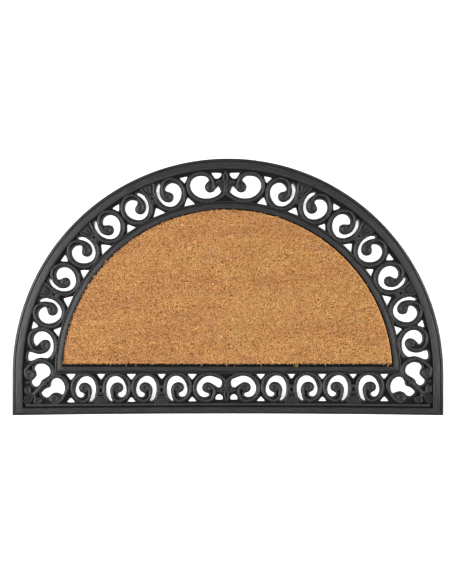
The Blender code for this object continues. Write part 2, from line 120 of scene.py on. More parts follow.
# A scroll's opening is cut between the ring round it and the curl that grows out of the ring, each edge given
# as turn in degrees and radius. "bead" runs on the ring, and "coil" carries it on round the knob to its
# middle.
ARCH_SCROLL = {
    "ring_at": (1.4, -1.0),
    "ring": (
        (62, 28.2), (35, 25.4), (10, 21.8), (-25, 19.6), (-60, 19.8), (-90, 20.0), (-122, 18.9),
        (-155, 19.1), (-185, 20.8), (-212, 21.9), (-237, 21.7), (-257, 19.6), (-278, 16.0), (-300, 12.2),
    ),
    "knob_at": (5.9, -2.4),
    "curl": (
        (84, 11.2), (102, 8.5), (138, 8.8), (178, 10.1), (218, 10.6), (255, 10.8), (295, 10.3),
        (335, 10.4), (366, 12.3), (392, 14.8), (414, 18.4), (430, 22.8), (436, 24.8),
    ),
    "tail": (),
    "bead_at": (0.9, 0.0),
    "bead": (
        (25, 27.0), (-15, 26.5), (-55, 26.2), (-95, 25.9), (-135, 25.7), (-175, 25.6), (-215, 26.8),
        (-250, 27.6), (-275, 25.2), (-292, 21.6), (-303, 19.4),
    ),
    "coil": (
        (62, 13.1), (36, 8.9), (5, 6.6), (-40, 5.4), (-100, 4.9), (-170, 4.4), (-240, 3.6), (-310, 2.6),
    ),
}
ROW_SCROLL = {
    "ring_at": (0.7, -2.8),
    "ring": (
        (70, 26.6), (48, 23.4), (25, 19.4), (0, 17.7), (-32, 17.9), (-62, 19.1), (-90, 19.0),
        (-120, 17.3), (-150, 16.2), (-178, 17.0), (-208, 19.6), (-232, 21.0), (-246, 19.4), (-258, 15.6),
    ),
    "knob_at": (-1.6, -1.0),
    "curl": (
        (92, 9.2), (108, 8.6), (140, 9.3), (180, 10.2), (220, 10.2), (260, 10.2), (300, 10.5),
        (340, 11.6), (368, 13.3), (393, 15.6), (412, 18.4), (424, 21.6), (429, 24.4),
    ),
    "tail": (),
    "bead_at": (-0.5, -2.1),
    "bead": (
        (42, 26.6), (8, 22.6), (-32, 22.8), (-72, 23.6), (-112, 23.5), (-152, 22.9), (-192, 22.9),
        (-230, 23.9), (-264, 24.0),
    ),
    "coil": (
        (64, 18.5), (45, 12.8), (15, 9.3), (-33, 6.8), (-90, 5.6), (-150, 5.0), (-220, 4.2), (-290, 3.0),
    ),
}
# The pairs beside the two middle posts. Their frames point +x at the middle of the mat.
TOP_PAIR_AT = (38.5, 324.7)
TOP_PAIR = {
    "ring_at": (3.5, 1.7),
    "ring": (
        (-18, 28.6), (-45, 23.5), (-68, 20.8), (-94, 19.9), (-122, 20.9), (-150, 23.3), (-175, 26.1),
        (-197, 27.0), (-220, 25.2), (-248, 20.7), (-270, 18.2), (-292, 14.6),
    ),
    "knob_at": (11.5, 1.0),
    "curl": (
        (100, 11.5), (118, 10.3), (155, 9.8), (195, 9.4), (235, 9.4), (275, 9.4), (315, 9.4), (342, 9.8),
        (366, 13.2),
    ),
    "tail": ((24.6, 3.7), (27.3, 2.1), (28.9, -2.8)),
    "bead_at": (3.5, 1.7),
    "bead": (
        (-30, 33.0), (-62, 27.0), (-98, 25.2), (-132, 26.8), (-165, 30.2), (-196, 31.6), (-226, 29.4),
        (-260, 24.8),
    ),
    "coil": (
        (89, 18.8), (62, 11.0), (20, 7.6), (-30, 6.4), (-90, 5.4), (-160, 4.6), (-230, 3.8), (-300, 2.8),
    ),
}
ROW_PAIR_AT = 34.3
ROW_PAIR = {
    "ring_at": (3.5, 0.0),
    "ring": (
        (-24, 25.0), (-33, 26.0), (-55, 22.6), (-86, 21.4), (-115, 20.6), (-145, 20.0), (-175, 20.7),
        (-204, 20.7), (-232, 18.9), (-256, 15.4), (-275, 11.8),
    ),
    "knob_at": (1.6, -0.9),
    "curl": (
        (76, 11.0), (92, 9.2), (125, 9.4), (165, 9.9), (205, 9.9), (245, 9.9), (285, 10.0), (322, 11.1),
        (346, 14.0), (360, 18.0),
    ),
    "tail": ((23.8, -1.4), (25.8, -5.6)),
    "bead_at": (3.5, 0.0),
    "bead": (
        (-30, 31.0), (-65, 27.2), (-103, 25.7), (-140, 25.2), (-178, 25.6), (-214, 25.5), (-248, 23.4),
    ),
    "coil": (
        (73, 21.4), (33, 14.1), (9, 10.0), (-26, 7.2), (-78, 5.5), (-168, 5.1), (-235, 5.0), (-300, 4.0),
        (-350, 2.6),
    ),
}
# The last scroll at each foot of the arch. Its frame points +x outwards and +y up the arch.
FOOT_AT = (324.4, 51.2)
FOOT_SCROLL = {
    "ring_at": (-3.5, 3.5),
    "ring": (
        (-105, 27.0), (-132, 23.2), (-158, 19.2), (-186, 17.5), (-214, 17.3), (-242, 18.7), (-270, 20.6),
        (-298, 21.4), (-325, 20.0), (-352, 17.0), (-381, 13.2),
    ),
    "knob_at": (-6.3, 0.5),
    "curl": (
        (7, 12.0), (36, 9.9), (74, 9.8), (112, 10.3), (150, 10.2), (190, 9.8), (230, 10.8), (262, 13.2),
        (290, 16.6), (312, 21.0), (330, 25.6), (338, 29.8),
    ),
    "tail": ((22.5, -12.6), (24.0, -20.2), (23.0, -26.3), (17.6, -27.0), (7.1, -21.9), (-0.6, -20.8)),
    "bead_at": (-3.5, 3.5),
    "bead": (
        (-118, 31.0), (-148, 26.0), (-182, 23.2), (-217, 22.8), (-252, 24.8), (-288, 27.2), (-322, 27.8),
        (-355, 25.0), (-388, 21.0),
    ),
    "coil": (
        (-42, 15.9), (-84, 9.0), (-125, 7.2), (-162, 6.4), (-224, 6.2), (-268, 5.8), (-316, 4.6),
        (-350, 3.2),
    ),
}
# The two lobes at each corner, on either side of a stem that runs out to it. +x points outwards and +y up.
CORNER_AT = (319.7, -18.5)
UPPER_LOBE = {
    "ring_at": (2.6, 24.4),
    "ring": (
        (-127, 12.2), (-165, 13.7), (-205, 13.1), (-245, 12.8), (-285, 13.8), (-314, 15.5), (-344, 15.5),
    ),
    "knob_at": (24.9, 20.0),
    "curl": ((131, 11.5), (160, 11.3), (192, 11.9), (232, 11.0), (260, 13.2)),
    "tail": ((21.3, 2.1), (18.1, -1.7), (14.3, -2.8), (9.9, -0.7), (7.1, 3.1), (5.6, 8.0), (1.7, 10.8)),
    "bead_at": (2.6, 24.4),
    "bead": ((-150, 20.4), (-184, 19.4), (-220, 18.6), (-256, 18.6), (-292, 21.4)),
    "coil": (
        (96, 17.1), (72, 12.1), (37, 10.0), (-10, 7.8), (-56, 8.3), (-100, 8.0), (-150, 6.8), (-210, 5.6),
        (-270, 4.4), (-330, 3.0),
    ),
}
LOWER_LOBE = {
    "ring_at": (-22.6, -0.9),
    "ring": (
        (5, 10.5), (40, 12.0), (80, 13.6), (120, 12.7), (165, 12.7), (205, 15.2), (241, 19.3),
    ),
    "knob_at": (-19.7, -24.4),
    "curl": ((152, 13.9), (126, 12.4), (90, 11.7), (49, 11.2), (24, 11.5), (9, 14.6)),
    "tail": ((-0.4, -20.7), (4.5, -15.9), (5.1, -13.2), (0.7, -8.7), (-4.8, -5.2), (-10.3, -3.9)),
    "bead_at": (-22.6, -0.9),
    "bead": ((45, 17.0), (80, 18.6), (118, 18.2), (156, 18.0), (193, 19.8)),
    "coil": (
        (175, 13.0), (218, 8.0), (252, 7.0), (290, 7.0), (330, 7.2), (370, 7.0), (420, 6.0), (480, 5.0),
        (540, 3.6), (590, 2.6),
    ),
}
SCROLL_KNOB = 7.4
LOBE_KNOB = 7.8

# Three-cornered openings between neighbouring scrolls: half width at the base, then base and tip outwards
# from the row. Where a clasp ties two scrolls it takes the place of the outer opening.
ARCH_TOUCH_OUTER = (7.4, 23.2, 11.8)
ROW_TOUCH_OUTER = (7.4, 22.9, 14.2)
GAP_OPENINGS = {
    "top touch": ((11.6, -29.5, -12.2), ARCH_TOUCH_OUTER),
    "arch touch": ((10.6, -29.5, -14.6), ARCH_TOUCH_OUTER),
    "arch clasp": ((13.0, -29.5, -13.0),),
    "row touch": ((10.8, -28.2, -14.6), ROW_TOUCH_OUTER),
    "row clasp": ((9.6, -28.2, -15.4),),
}

# The two middle posts, x from the middle of the mat. Each has an opening beside it, a flat rod on a wider
# body and a pointed leaf on the border's side, and ribbons tie it to the scrolls. The opening and the side
# lines are made twice. A line's points are (across, outwards, height, bead radius).
TOP_POST = {
    "opening": ((25.1, 23.3), (7.1, 22.7), (7.8, 17.6), (12.9, 12.9), (18.5, 12.9)),
    "rod": ((3.0, 8.0), (3.4, -2.0), (3.6, -9.0), (5.0, -14.0)),
    "body": (
        (7.0, 12.5), (13.0, 11.8), (17.0, 10.0), (17.0, 4.0), (13.5, 2.0), (10.5, 0.6), (8.0, -5.0),
        (7.4, -13.0),
    ),
    "leaf": 15.5,
    "sides": (
        ((0.0, 26.4, 5.2, 0.8), (3.0, 19.0, 6.0, 1.4), (3.1, 12.0, 6.4, 1.5), (0.2, 5.5, 6.6, 1.3)),
        ((2.0, 9.8, 5.2, 1.9), (9.0, 8.4, 5.2, 1.9), (17.0, 4.6, 4.9, 2.3)),
        ((2.0, 3.2, 5.2, 1.7), (8.5, 5.6, 5.2, 1.7), (13.5, 10.2, 4.8, 1.6)),
        ((1.5, -12.6, 4.6, 3.0), (5.0, -16.6, 4.6, 3.1), (10.0, -20.0, 4.3, 3.1)),
    ),
}
ROW_POST = {
    "opening": (
        (19.5, 20.2), (6.4, 20.2), (6.4, 15.7), (8.6, 12.4), (11.8, 10.3), (15.2, 10.8), (18.5, 14.6),
    ),
    "rod": ((3.0, 4.0), (3.4, -4.0), (3.6, -8.0), (5.0, -12.0)),
    "body": (
        (5.0, 12.0), (8.0, 9.8), (13.0, 8.0), (15.0, 4.0), (13.0, 1.6), (10.0, 0.6), (7.0, -4.5),
        (6.4, -11.0),
    ),
    "leaf": 12.5,
    "sides": (
        ((0.0, 23.8, 5.2, 0.8), (2.9, 16.0, 6.0, 1.4), (2.9, 8.5, 6.4, 1.4), (0.2, 2.0, 6.6, 1.2)),
        ((2.0, 5.8, 5.2, 2.1), (9.0, 5.2, 5.2, 2.1), (17.0, 3.2, 4.9, 2.3)),
        ((2.0, -1.0, 5.2, 1.8), (7.5, 1.8, 5.2, 1.8), (13.0, 6.2, 4.8, 1.6)),
        ((1.0, -10.4, 4.6, 2.8), (4.0, -15.4, 4.6, 3.0), (9.0, -19.6, 4.3, 3.1)),
    ),
}
POST_BODY_TOP = 4.4
POST_TOP = 6.3
POST_ROUND = 0.9
POST_LEAF = (3.2, 5.0, 2.7)  # radius, height, stretch

# Beads at each corner: the stem, its collar, the stem's outer half, the petals on either side of the leaf,
# and the small collar under the upper knob
CORNER_LINES = (
    ((-17.0, 16.4, 4.4, 3.0), (-9.0, 10.0, 4.7, 3.1), (-2.0, 4.4, 4.9, 3.3)),
    ((-5.6, 0.0, 4.8, 1.8), (-1.5, 3.8, 6.8, 2.1), (2.6, 7.6, 4.8, 1.8)),
    ((-1.5, 3.8, 4.6, 4.2), (6.0, -3.6, 4.5, 4.4), (13.5, -11.2, 4.5, 4.2), (19.0, -16.8, 4.6, 3.6)),
    (
        (15.5, -13.0, 4.8, 2.4), (20.5, -15.0, 5.0, 2.3), (24.6, -12.0, 5.0, 2.1), (24.6, -4.0, 4.6, 1.6),
        (28.6, 0.4, 4.4, 1.2),
    ),
    ((24.6, -13.0, 5.0, 1.8), (30.4, -14.2, 5.2, 1.6), (33.6, -9.4, 5.0, 1.5), (32.4, -3.0, 4.4, 1.2)),
    (
        (15.5, -13.0, 4.8, 2.4), (16.6, -19.4, 5.0, 2.3), (14.6, -23.2, 5.0, 2.1), (6.8, -23.0, 4.6, 1.6),
        (1.6, -27.0, 4.4, 1.2),
    ),
    ((15.4, -23.4, 5.0, 1.8), (17.4, -29.4, 5.2, 1.6), (12.4, -32.8, 5.0, 1.5), (5.0, -31.4, 4.4, 1.2)),
    ((22.5, 5.4, 4.4, 1.6), (27.5, 5.2, 4.8, 1.9), (33.0, 5.0, 4.2, 1.6)),
)
# The corner's ribbed leaf: ribs side by side, the outer ones shorter. A rib's points are (share of its half
# length, share of its distance from the leaf's middle line, height, bead radius).
LEAF_RIBS = (-1.5, -0.5, 0.5, 1.5)
LEAF_RIB = ((-1.1, 0.5, 4.8, 0.8), (-0.4, 0.9, 6.2, 0.95), (0.4, 1.0, 6.2, 0.95), (1.0, 0.75, 4.8, 0.8))
LEAF_SHORTER = 0.1
LEAF_LONGEST = 1.15
LEAF_AT = (27.8, -24.0)
LEAF_HALF = 9.6
LEAF_SPACING = 3.8
LEAF_TURN = -54.0
CORNER_DOMES = (  # place, radius, height, stretch, turn in degrees, dish
    ((28.2, -8.2), 4.8, 6.0, 1.35, -75.0, 0.3),
    ((10.2, -27.6), 4.6, 5.6, 1.6, -12.0, 0.3),
    ((-19.0, -24.6), 7.6, 5.3, 1.5, -6.0, 0.2),
)

# Ridge along the straight edge, between the row and the border
RIDGE_INSET = 17.4
RIDGE_HALF = 2.0
RIDGE_END = 351.0
RIDGE_ROUND = 0.7

# Where the scrolls' beads thin, and where they climb towards the knob: from this share of their way, over
# this share, and by how much
BEAD_TAPER = (0.72, 0.28, 0.35)
BEAD_CLIMB = (0.7, 0.15, 0.45)
LIP_FACETS = 8
LIP_STEP = 2.0

# A boss's section from its foot to its crown: share of the radius, share of the height, and how much of the
# dish in its top it takes
DOME_ROWS = (
    (1.0, 0.0, 0.0), (1.0, 0.62, 0.0), (0.975, 0.8, 0.0), (0.9, 0.91, 0.0), (0.76, 0.97, 0.0),
    (0.56, 1.0, 0.3), (0.3, 1.0, 1.0),
)
DOME_SIDES = 28
KNOB_DISH = 0.22

# The coir panel. The insets are from the tray, on the arch and on the flat side.
COIR_SHIFT = -1.6  # the pile lies a little to the left in its tray
COIR_GAP = 0.3  # between the panel and the tray
GROUND_INSET = (2.4, 4.4)
GROUND_ROUND = 0.8
PILE_INSET = (1.1, 3.1)
PILE_MIDDLE = CENTRE_Y + 100.0
PILE_STEP = 2.2
PILE_RAGGED = 0.008  # the pile's edge wanders in by up to this share of the way to its middle
FIBRE_ROOT = 0.3  # how deep in its ground a fibre stands
TUFT_LEAN = 0.9  # how far a tuft leans as one
# Layers of standing fibres: share of the fibres' length, how far each strays, and the size of a tuft
FIBRE_LAYERS = ((1.0, 0.5, 2.6), (1.04, 0.55, 2.2), (0.92, 0.6, 3.1), (0.98, 0.65, 2.4))
FIRST_SEED = 3  # the first layer's; each layer after it takes the next number
SPIN_SEED = 7
PILE_SEED = 21  # of the pile's edge and the loose fibres
FIBRE_TALL = {"Min_001": 0.72, "Max_001": 1.12, "Seed": 11}  # share of the length, drawn for each fibre
FIBRE_BROAD = {"Min_001": 0.6, "Max_001": 1.25, "Seed": 13}  # of the width
FIBRE_PALE = {"Min_001": 0.0, "Max_001": 1.0, "Seed": 17}  # from the darkest fibre to the palest
FIBRE_CREST = (0.86, 1.06)  # shares of the length between tufts and on their crests
TUFT_SPAN = (0.35, 0.65)  # the values of the tufts' noise there
TUFT_SHADE = 0.25  # how far at most a tuft moves its fibres' shade either way
LOOSE_EDGE_EVERY = 11  # one loose fibre in so many starts at the edge of the pile
LOOSE_ASIDE = 1.0  # give or take this far aside, and
LOOSE_UP = 0.6  # this far up or down
LOOSE_INSET = 4.0  # the others start this far inside the tray
LOOSE_JOINTS = 5
LOOSE_FACETS = 4
LOOSE_LENGTH = (2.2, 5.5)
LOOSE_RADIUS = (0.18, 0.3)
LOOSE_END = 0.55  # an end's share of the radius
LOOSE_ARCH = 0.55  # how far its middle rises over its ends
LOOSE_DEPTH = 0.5  # how far its ends lie under the top of the panel
LOOSE_BEND = 0.35  # radians at each joint, the same way, and
LOOSE_WANDER = 0.15  # by chance
LOOSE_SHADE = (0.1, 0.85)

# Patterns: how many millimetres across one grain, speckle or cloud is
RUBBER_GRAIN = (1.1, {"Detail": 3.0, "Roughness": 0.6})
RUBBER_BLOOM = (36.0, {"Detail": 4.0, "Roughness": 0.6})
RUBBER_UNEVEN = (3.8, {"Detail": 2.0, "Roughness": 0.5})
RUBBER_CRUMB = 2.6
RIM_STREAK = (26.0, 2.0)  # along and across
COIR_BAND = 17.0
COIR_CLOUD = 48.0
# the gaps in the pile, painted in as shade, with paler straw between
COIR_GAPE = 2.8
COIR_MATTING = 1.4
FLOOR_NAP = 17.0
NOISE_SPAN = (0.3, 0.7)  # nearly all of a noise's values lie between these

# Looks of the rubber
CRUMB_SHARES = (0.68, 1.32)  # its tone at the darkest and palest speckle
RIM_SHARES = (0.6, 1.2)  # at the rims' darkest and palest streak
BLOOM_SHARES = (0.8, 1.2)  # and where it has bloomed least and most
WEB_RECESS_SHADE = (2.7, 6.5)  # heights over the floor between which the painted shade of the recesses fades from darkest to none
RIM_RECESS_SHADE = (0.5, 2.5)
RECESS_SHADE_SHARE = 0.3  # painted shade in the recesses: the tone low down as a share of the full tone
RUBBER_ROUGHNESS = (0.4, 0.6)
RUBBER_SPECULAR = 0.4  # at its full tone, clear of the painted recess shade
PLAIN_SPECULAR = 0.35  # for an export that drops the link from the painted recess shade and marks
GRAIN_BUMP = {"Strength": 0.35, "Distance": 0.25 * MM}
LUMP_BUMP = {"Strength": 0.5, "Distance": 0.7 * MM}

# Looks of the coir. A stop is where it stands, from 0 to 1, and its colour.
COIR_DRAWN_OUT = (0.25, 1.0, 1.0)  # its bands are four times as long across the mat as they are wide
COIR_BROWNS = (
    (0.42, (0.87, 0.75, 0.79, 1.0)), (0.5, (0.98, 0.88, 0.88, 1.0)), (0.58, (1.0, 0.96, 0.92, 1.0)),
)
COIR_DUSK = (0.14, 0.78)  # where its shaded brown stands, and that brown's share of the middle colour
COIR_STRAW = ((0.38, (1.0, 0.88, 0.54, 1.0)), (0.62, (1.0, 1.02, 1.06, 1.0)))
COIR_GAP_SHADE_FADE = (0.33, 0.43)  # the values of its noise over which the painted shade of a gap in the pile fades out
COIR_ROOT_SHADE = 0.9  # painted shade at a fibre's root: its tone there as a share of its tone at the top
COIR_OWN_SHADING = 0.2  # how much a fibre's own sides show beside the pile's face
MATTING_PALEST = 0.9  # share of the middle colour
MATTING_BUMP = {"Strength": 0.8, "Distance": 1.0 * MM}

# Stage: name, place, size and power of each light, in metres and watts
LIGHTS = (
    ("Left softbox", (-1.9, 0.1, 1.5), (1.4, 2.2), 100.0),
    ("Right softbox", (1.9, 0.1, 1.5), (1.4, 2.2), 61.0),
    ("Far softbox", (0.0, 2.3, 1.7), (2.2, 1.2), 4.0),
    ("Near softbox", (0.0, -2.3, 1.7), (2.2, 1.2), 17.0),
)
ROOM_LIGHT = 0.36
FLOOR_GLOW = 0.5
FLOOR_DARKEST = 0.99  # share of the floor's own colour
WHITE = (1.0, 1.0, 1.0, 1.0)
FLOOR_REACH = 8.0
CAMERA_AT = (-0.0033, -0.0088, 2.5)
CAMERA_LENS = 88.5
CAMERA_SENSOR = 36.0


class DoormatSizes(bpy.types.PropertyGroup):
    web_top: bpy.props.FloatProperty(
        name="Web height", description="Top of the openwork over the floor", default=0.0027, unit="LENGTH"
    )
    web_round: bpy.props.FloatProperty(
        name="Web rounding", description="Rounding of the openwork's edges", default=0.0006, unit="LENGTH"
    )
    bead_radius: bpy.props.FloatProperty(
        name="Bead radius", description="Radius of the bead round each scroll", default=0.0031, unit="LENGTH"
    )
    bead_height: bpy.props.FloatProperty(
        name="Bead axis", description="Height of the bead's middle", default=0.0043, unit="LENGTH"
    )
    bead_facets: bpy.props.IntProperty(
        name="Bead facets", description="Sides of the bead's round section", default=12, min=6, max=32
    )
    lip_radius: bpy.props.FloatProperty(
        name="Lip radius", description="Radius of the lip round an opening", default=0.0023, unit="LENGTH"
    )
    lip_height: bpy.props.FloatProperty(
        name="Lip axis", description="Height of the lip's middle", default=0.0031, unit="LENGTH"
    )
    knob_top: bpy.props.FloatProperty(
        name="Knob height", description="Top of the knob that a curl ends in", default=0.0061, unit="LENGTH"
    )
    clasp_top: bpy.props.FloatProperty(
        name="Clasp height", description="Top of the ties between two scrolls", default=0.0064, unit="LENGTH"
    )
    ridge_top: bpy.props.FloatProperty(
        name="Ridge height", description="Top of the straight edge's ridge", default=0.0066, unit="LENGTH"
    )
    coir_ground: bpy.props.FloatProperty(
        name="Coir ground height", description="Where the coir fibres stand", default=0.0114, unit="LENGTH"
    )
    fibre_length: bpy.props.FloatProperty(
        name="Fibre length", description="Length of a standing coir fibre", default=0.0029, unit="LENGTH"
    )
    fibre_width: bpy.props.FloatProperty(
        name="Fibre width", description="Width of a coir fibre at its root", default=0.0011, unit="LENGTH"
    )
    fibre_count: bpy.props.IntProperty(
        name="Fibres in a layer", description="Standing fibres in each of the four layers", default=42500
    )
    loose_count: bpy.props.IntProperty(
        name="Loose fibres", description="Longer fibres that lie loose on the pile", default=550
    )


class DoormatColours(bpy.types.PropertyGroup):
    rubber: bpy.props.StringProperty(
        name="Rubber", description="The moulded rubber's colour, as sRGB hex", default="#1a1a1b"
    )
    coir_dark: bpy.props.StringProperty(
        name="Darkest coir", description="The darkest fibres, as sRGB hex", default="#84360c"
    )
    coir_middle: bpy.props.StringProperty(
        name="Middle coir", description="The usual fibre colour, as sRGB hex", default="#fcc173"
    )
    coir_pale: bpy.props.StringProperty(
        name="Palest coir", description="The palest, straw-like fibres, as sRGB hex", default="#fee7bd"
    )
    floor: bpy.props.StringProperty(
        name="Floor", description="The plain pale floor, as sRGB hex", default="#dcdcdb"
    )


# Plan geometry


def smooth_rows(rows, step=6.0):
    """Turn and radius rows with smoothly blended rows between them."""
    turns = [row[0] for row in rows]
    radii = [row[1] for row in rows]
    count = len(rows)
    slopes = []
    for i in range(count):
        before, after = max(i - 1, 0), min(i + 1, count - 1)
        slopes.append((radii[after] - radii[before]) / (turns[after] - turns[before]))
    filled = []
    for i in range(count - 1):
        gap = turns[i + 1] - turns[i]
        parts = max(1, round(abs(gap) / step))
        for j in range(parts):
            s = j / parts
            radius = (
                (2 * s**3 - 3 * s**2 + 1) * radii[i]
                + (s**3 - 2 * s**2 + s) * gap * slopes[i]
                + (3 * s**2 - 2 * s**3) * radii[i + 1]
                + (s**3 - s**2) * gap * slopes[i + 1]
            )
            filled.append((turns[i] + gap * s, radius))
    filled.append((turns[-1], radii[-1]))
    return filled


def polar(centre, rows):
    return [
        (centre[0] + radius * math.cos(math.radians(turn)), centre[1] + radius * math.sin(math.radians(turn)))
        for turn, radius in rows
    ]


def bowed(point):
    """Moves a point of the straight side up with the bow of its edge: in full there, and not at the frame."""
    x, y = point
    depth = min(max((CENTRE_Y - y) / STRAIGHT_SIDE, 0.0), 1.0)
    return x, y + EDGE_BOW * depth * (1 - (x / ARCH_RADIUS) ** 2)


def settled(point):
    """The mould's openwork doesn't sit quite true in its rims: it lies off to the left, most at the top."""
    x, y = point
    across, up = x / ARCH_RADIUS, (y - CENTRE_Y) / ARCH_RADIUS
    return x + DRIFT_LEFT + DRIFT_TOP * up + DRIFT_FEET * across**2, y + DRIFT_TURN * across + DRIFT_DOWN * up


def place(points, origin, along, out):
    """Points of a local frame put on the mat."""
    return [
        settled(bowed((origin[0] + x * along[0] + y * out[0], origin[1] + x * along[1] + y * out[1])))
        for x, y in points
    ]


def place_line(points, where):
    """Points of a local frame put on the mat, each with its height and the bead's radius there."""
    flat = place([point[:2] for point in points], *where)
    return [(x, y, point[2], point[3]) for (x, y), point in zip(flat, points)]


def arch_frame(degrees, side, towards=1):
    """Origin, direction along the arch and direction outwards, at an angle from the top."""
    turn = math.radians(degrees)
    origin = (side * SCROLL_RADIUS * math.sin(turn), CENTRE_Y + SCROLL_RADIUS * math.cos(turn))
    along = (side * towards * math.cos(turn), -towards * math.sin(turn))
    return origin, along, (side * math.sin(turn), math.cos(turn))


def row_frame(x, side, towards=1):
    return (side * x, CENTRE_Y + ROW_Y), (side * towards, 0.0), (0.0, -ROW_STRETCH)


def upright_frame(at, side, towards):
    """A frame with +y up the mat, and +x outwards (towards 1) or at the middle (towards -1)."""
    return (side * at[0], CENTRE_Y + at[1]), (side * towards, 0.0), (0.0, 1.0)


def top_frame(side):
    return (0.0, CENTRE_Y + SCROLL_RADIUS), (float(side), 0.0), (0.0, 1.0)


def outline(radius, flat):
    """The half-moon outline at a radius, cut off by a straight side at a height over the arch's centre."""
    start = math.asin(flat / radius) if flat > 0 else 0.0
    points = []
    for i in range(ARCH_STEPS + 1):
        turn = start + (math.pi - 2 * start) * i / ARCH_STEPS
        points.append((radius * math.cos(turn), CENTRE_Y + radius * math.sin(turn)))
    half = math.sqrt(radius**2 - flat**2) if flat > 0 else radius
    first = 0 if flat <= 0 else 1
    last = EDGE_STEPS if flat <= 0 else EDGE_STEPS - 1
    for i in range(first, last + 1):
        points.append(bowed((-half + 2 * half * i / EDGE_STEPS, CENTRE_Y + flat)))
    return points


def walk(points, step, closed):
    """Points at even steps along a broken line."""
    line = list(points) + ([points[0]] if closed else [])
    reach = [0.0]
    for a, b in zip(line, line[1:]):
        reach.append(reach[-1] + math.dist(a, b))
    count = max(8, round(reach[-1] / step)) if closed else max(2, round(reach[-1] / step) + 1)
    walked = []
    k = 0
    for i in range(count):
        at = reach[-1] * i / (count if closed else count - 1)
        while k < len(line) - 2 and reach[k + 1] < at:
            k += 1
        share = (at - reach[k]) / max(reach[k + 1] - reach[k], 1e-9)
        walked.append(tuple(a + (b - a) * share for a, b in zip(line[k], line[k + 1])))
    return walked


def softened(points, step=1.1, passes=4):
    """A closed outline with its corners rounded as a mould rounds them."""
    loop = walk(points, step, True)
    for _ in range(passes):
        count = len(loop)
        loop = [
            tuple((a + 2 * b + c) / 4 for a, b, c in zip(loop[i - 1], loop[i], loop[(i + 1) % count]))
            for i in range(count)
        ]
    return loop


def between(s, a, b, c, d):
    """The value a share of the way from b to c, on a smooth curve with a before them and d after them."""
    return 0.5 * (2 * b + (c - a) * s + (2 * a - 5 * b + 4 * c - d) * s * s + (3 * b - a - 3 * c + d) * s**3)


def flowing(points, step=2.0, parts=12):
    """A smooth line through points, at even steps."""
    before, after = (
        tuple(2 * a - b for a, b in zip(end, beside))
        for end, beside in ((points[0], points[1]), (points[-1], points[-2]))
    )
    chain = [before, *points, after]
    line = []
    for near in zip(chain, chain[1:], chain[2:], chain[3:]):
        line += [tuple(between(j / parts, *values) for values in zip(*near)) for j in range(parts)]
    line.append(tuple(points[-1]))
    return walk(line, step, False)


def winding(points):
    """Twice the area inside an outline, and negative where the walk round it is clockwise."""
    return sum(a[0] * b[1] - b[0] * a[1] for a, b in zip(points, points[1:] + points[:1]))


def area_of(points):
    return abs(winding(points)) / 2


def flipped(line):
    return [(-x, *rest) for x, *rest in line]


def mirrored(half):
    """A whole outline from its right half."""
    return list(half) + flipped(half[::-1])


def opening_of(scroll):
    ring = polar(scroll["ring_at"], smooth_rows(scroll["ring"]))
    return ring + polar(scroll["knob_at"], smooth_rows(scroll["curl"])) + list(scroll["tail"])


def strand_of(scroll):
    """The bead's whole path: round the ring, down the curl and in to the knob's middle."""
    return polar(scroll["bead_at"], scroll["bead"]) + polar(scroll["knob_at"], scroll["coil"])


def triangle(half, base, tip):
    return [(-half, base), (half, base), (0.0, tip)]


def scroll_places(side):
    """Every scroll and lobe on one side, with its frame and the radius of its knob."""
    found = []
    angle = FIRST_SCROLL
    for i in range(ARCH_SCROLLS):
        found.append((ARCH_SCROLL, arch_frame(angle, side, 1 if i % 2 == 0 else -1), SCROLL_KNOB))
        angle += CLASP_PITCH if i % 2 == 0 else TOUCH_PITCH
    x = FIRST_ROW_SCROLL
    for i in range(ROW_SCROLLS):
        found.append((ROW_SCROLL, row_frame(x, side, 1 if i % 2 == 0 else -1), SCROLL_KNOB))
        x += ROW_CLASP_PITCH if i % 2 == 0 else ROW_TOUCH_PITCH
    found.append((TOP_PAIR, upright_frame(TOP_PAIR_AT, side, -1), SCROLL_KNOB))
    found.append((ROW_PAIR, row_frame(ROW_PAIR_AT, side, -1), SCROLL_KNOB))
    found.append((FOOT_SCROLL, upright_frame(FOOT_AT, side, 1), SCROLL_KNOB))
    corner = upright_frame(CORNER_AT, side, 1)
    return found + [(UPPER_LOBE, corner, LOBE_KNOB), (LOWER_LOBE, corner, LOBE_KNOB)]


def gap_places(side):
    """The frames between neighbouring scrolls: (kind, frame), where kind says what stands in the gap."""
    found = [("top touch", arch_frame(FIRST_SCROLL - TOUCH_PITCH / 2, side))]
    angle = FIRST_SCROLL
    for i in range(ARCH_SCROLLS):
        pitch = CLASP_PITCH if i % 2 == 0 else TOUCH_PITCH
        found.append(("arch clasp" if i % 2 == 0 else "arch touch", arch_frame(angle + pitch / 2, side)))
        angle += pitch
    x = FIRST_ROW_SCROLL - ROW_TOUCH_PITCH
    for i in range(ROW_SCROLLS + 1):
        pitch = ROW_CLASP_PITCH if i % 2 else ROW_TOUCH_PITCH
        found.append(("row clasp" if i % 2 else "row touch", row_frame(x + pitch / 2, side)))
        x += pitch
    return found


def post_frames(side):
    """Each middle post with its frame."""
    return ((TOP_POST, top_frame(side)), (ROW_POST, row_frame(0.0, side)))


def openings():
    """The outlines of everything that is cut through the web."""
    cut = []
    for side in (1, -1):
        cut += [place(opening_of(scroll), *where) for scroll, where, _ in scroll_places(side)]
        for kind, where in gap_places(side):
            cut += [place(triangle(*sizes), *where) for sizes in GAP_OPENINGS[kind]]
        cut += [place(post["opening"], *where) for post, where in post_frames(side)]
    return [softened(line) for line in cut]


def tray_outline(inset, flat_inset):
    """The tray's outline, drawn in by so much on its arch and on its flat side."""
    return outline(TRAY_RADIUS - inset, TRAY_FLAT + flat_inset)


# Meshes


def mesh_of(name, work, sharp=35.0):
    bmesh.ops.recalc_face_normals(work, faces=work.faces)
    mesh = bpy.data.meshes.new(name)
    work.to_mesh(mesh)
    work.free()
    mesh.shade_smooth()
    mesh.set_sharp_from_angle(angle=math.radians(sharp))
    return mesh


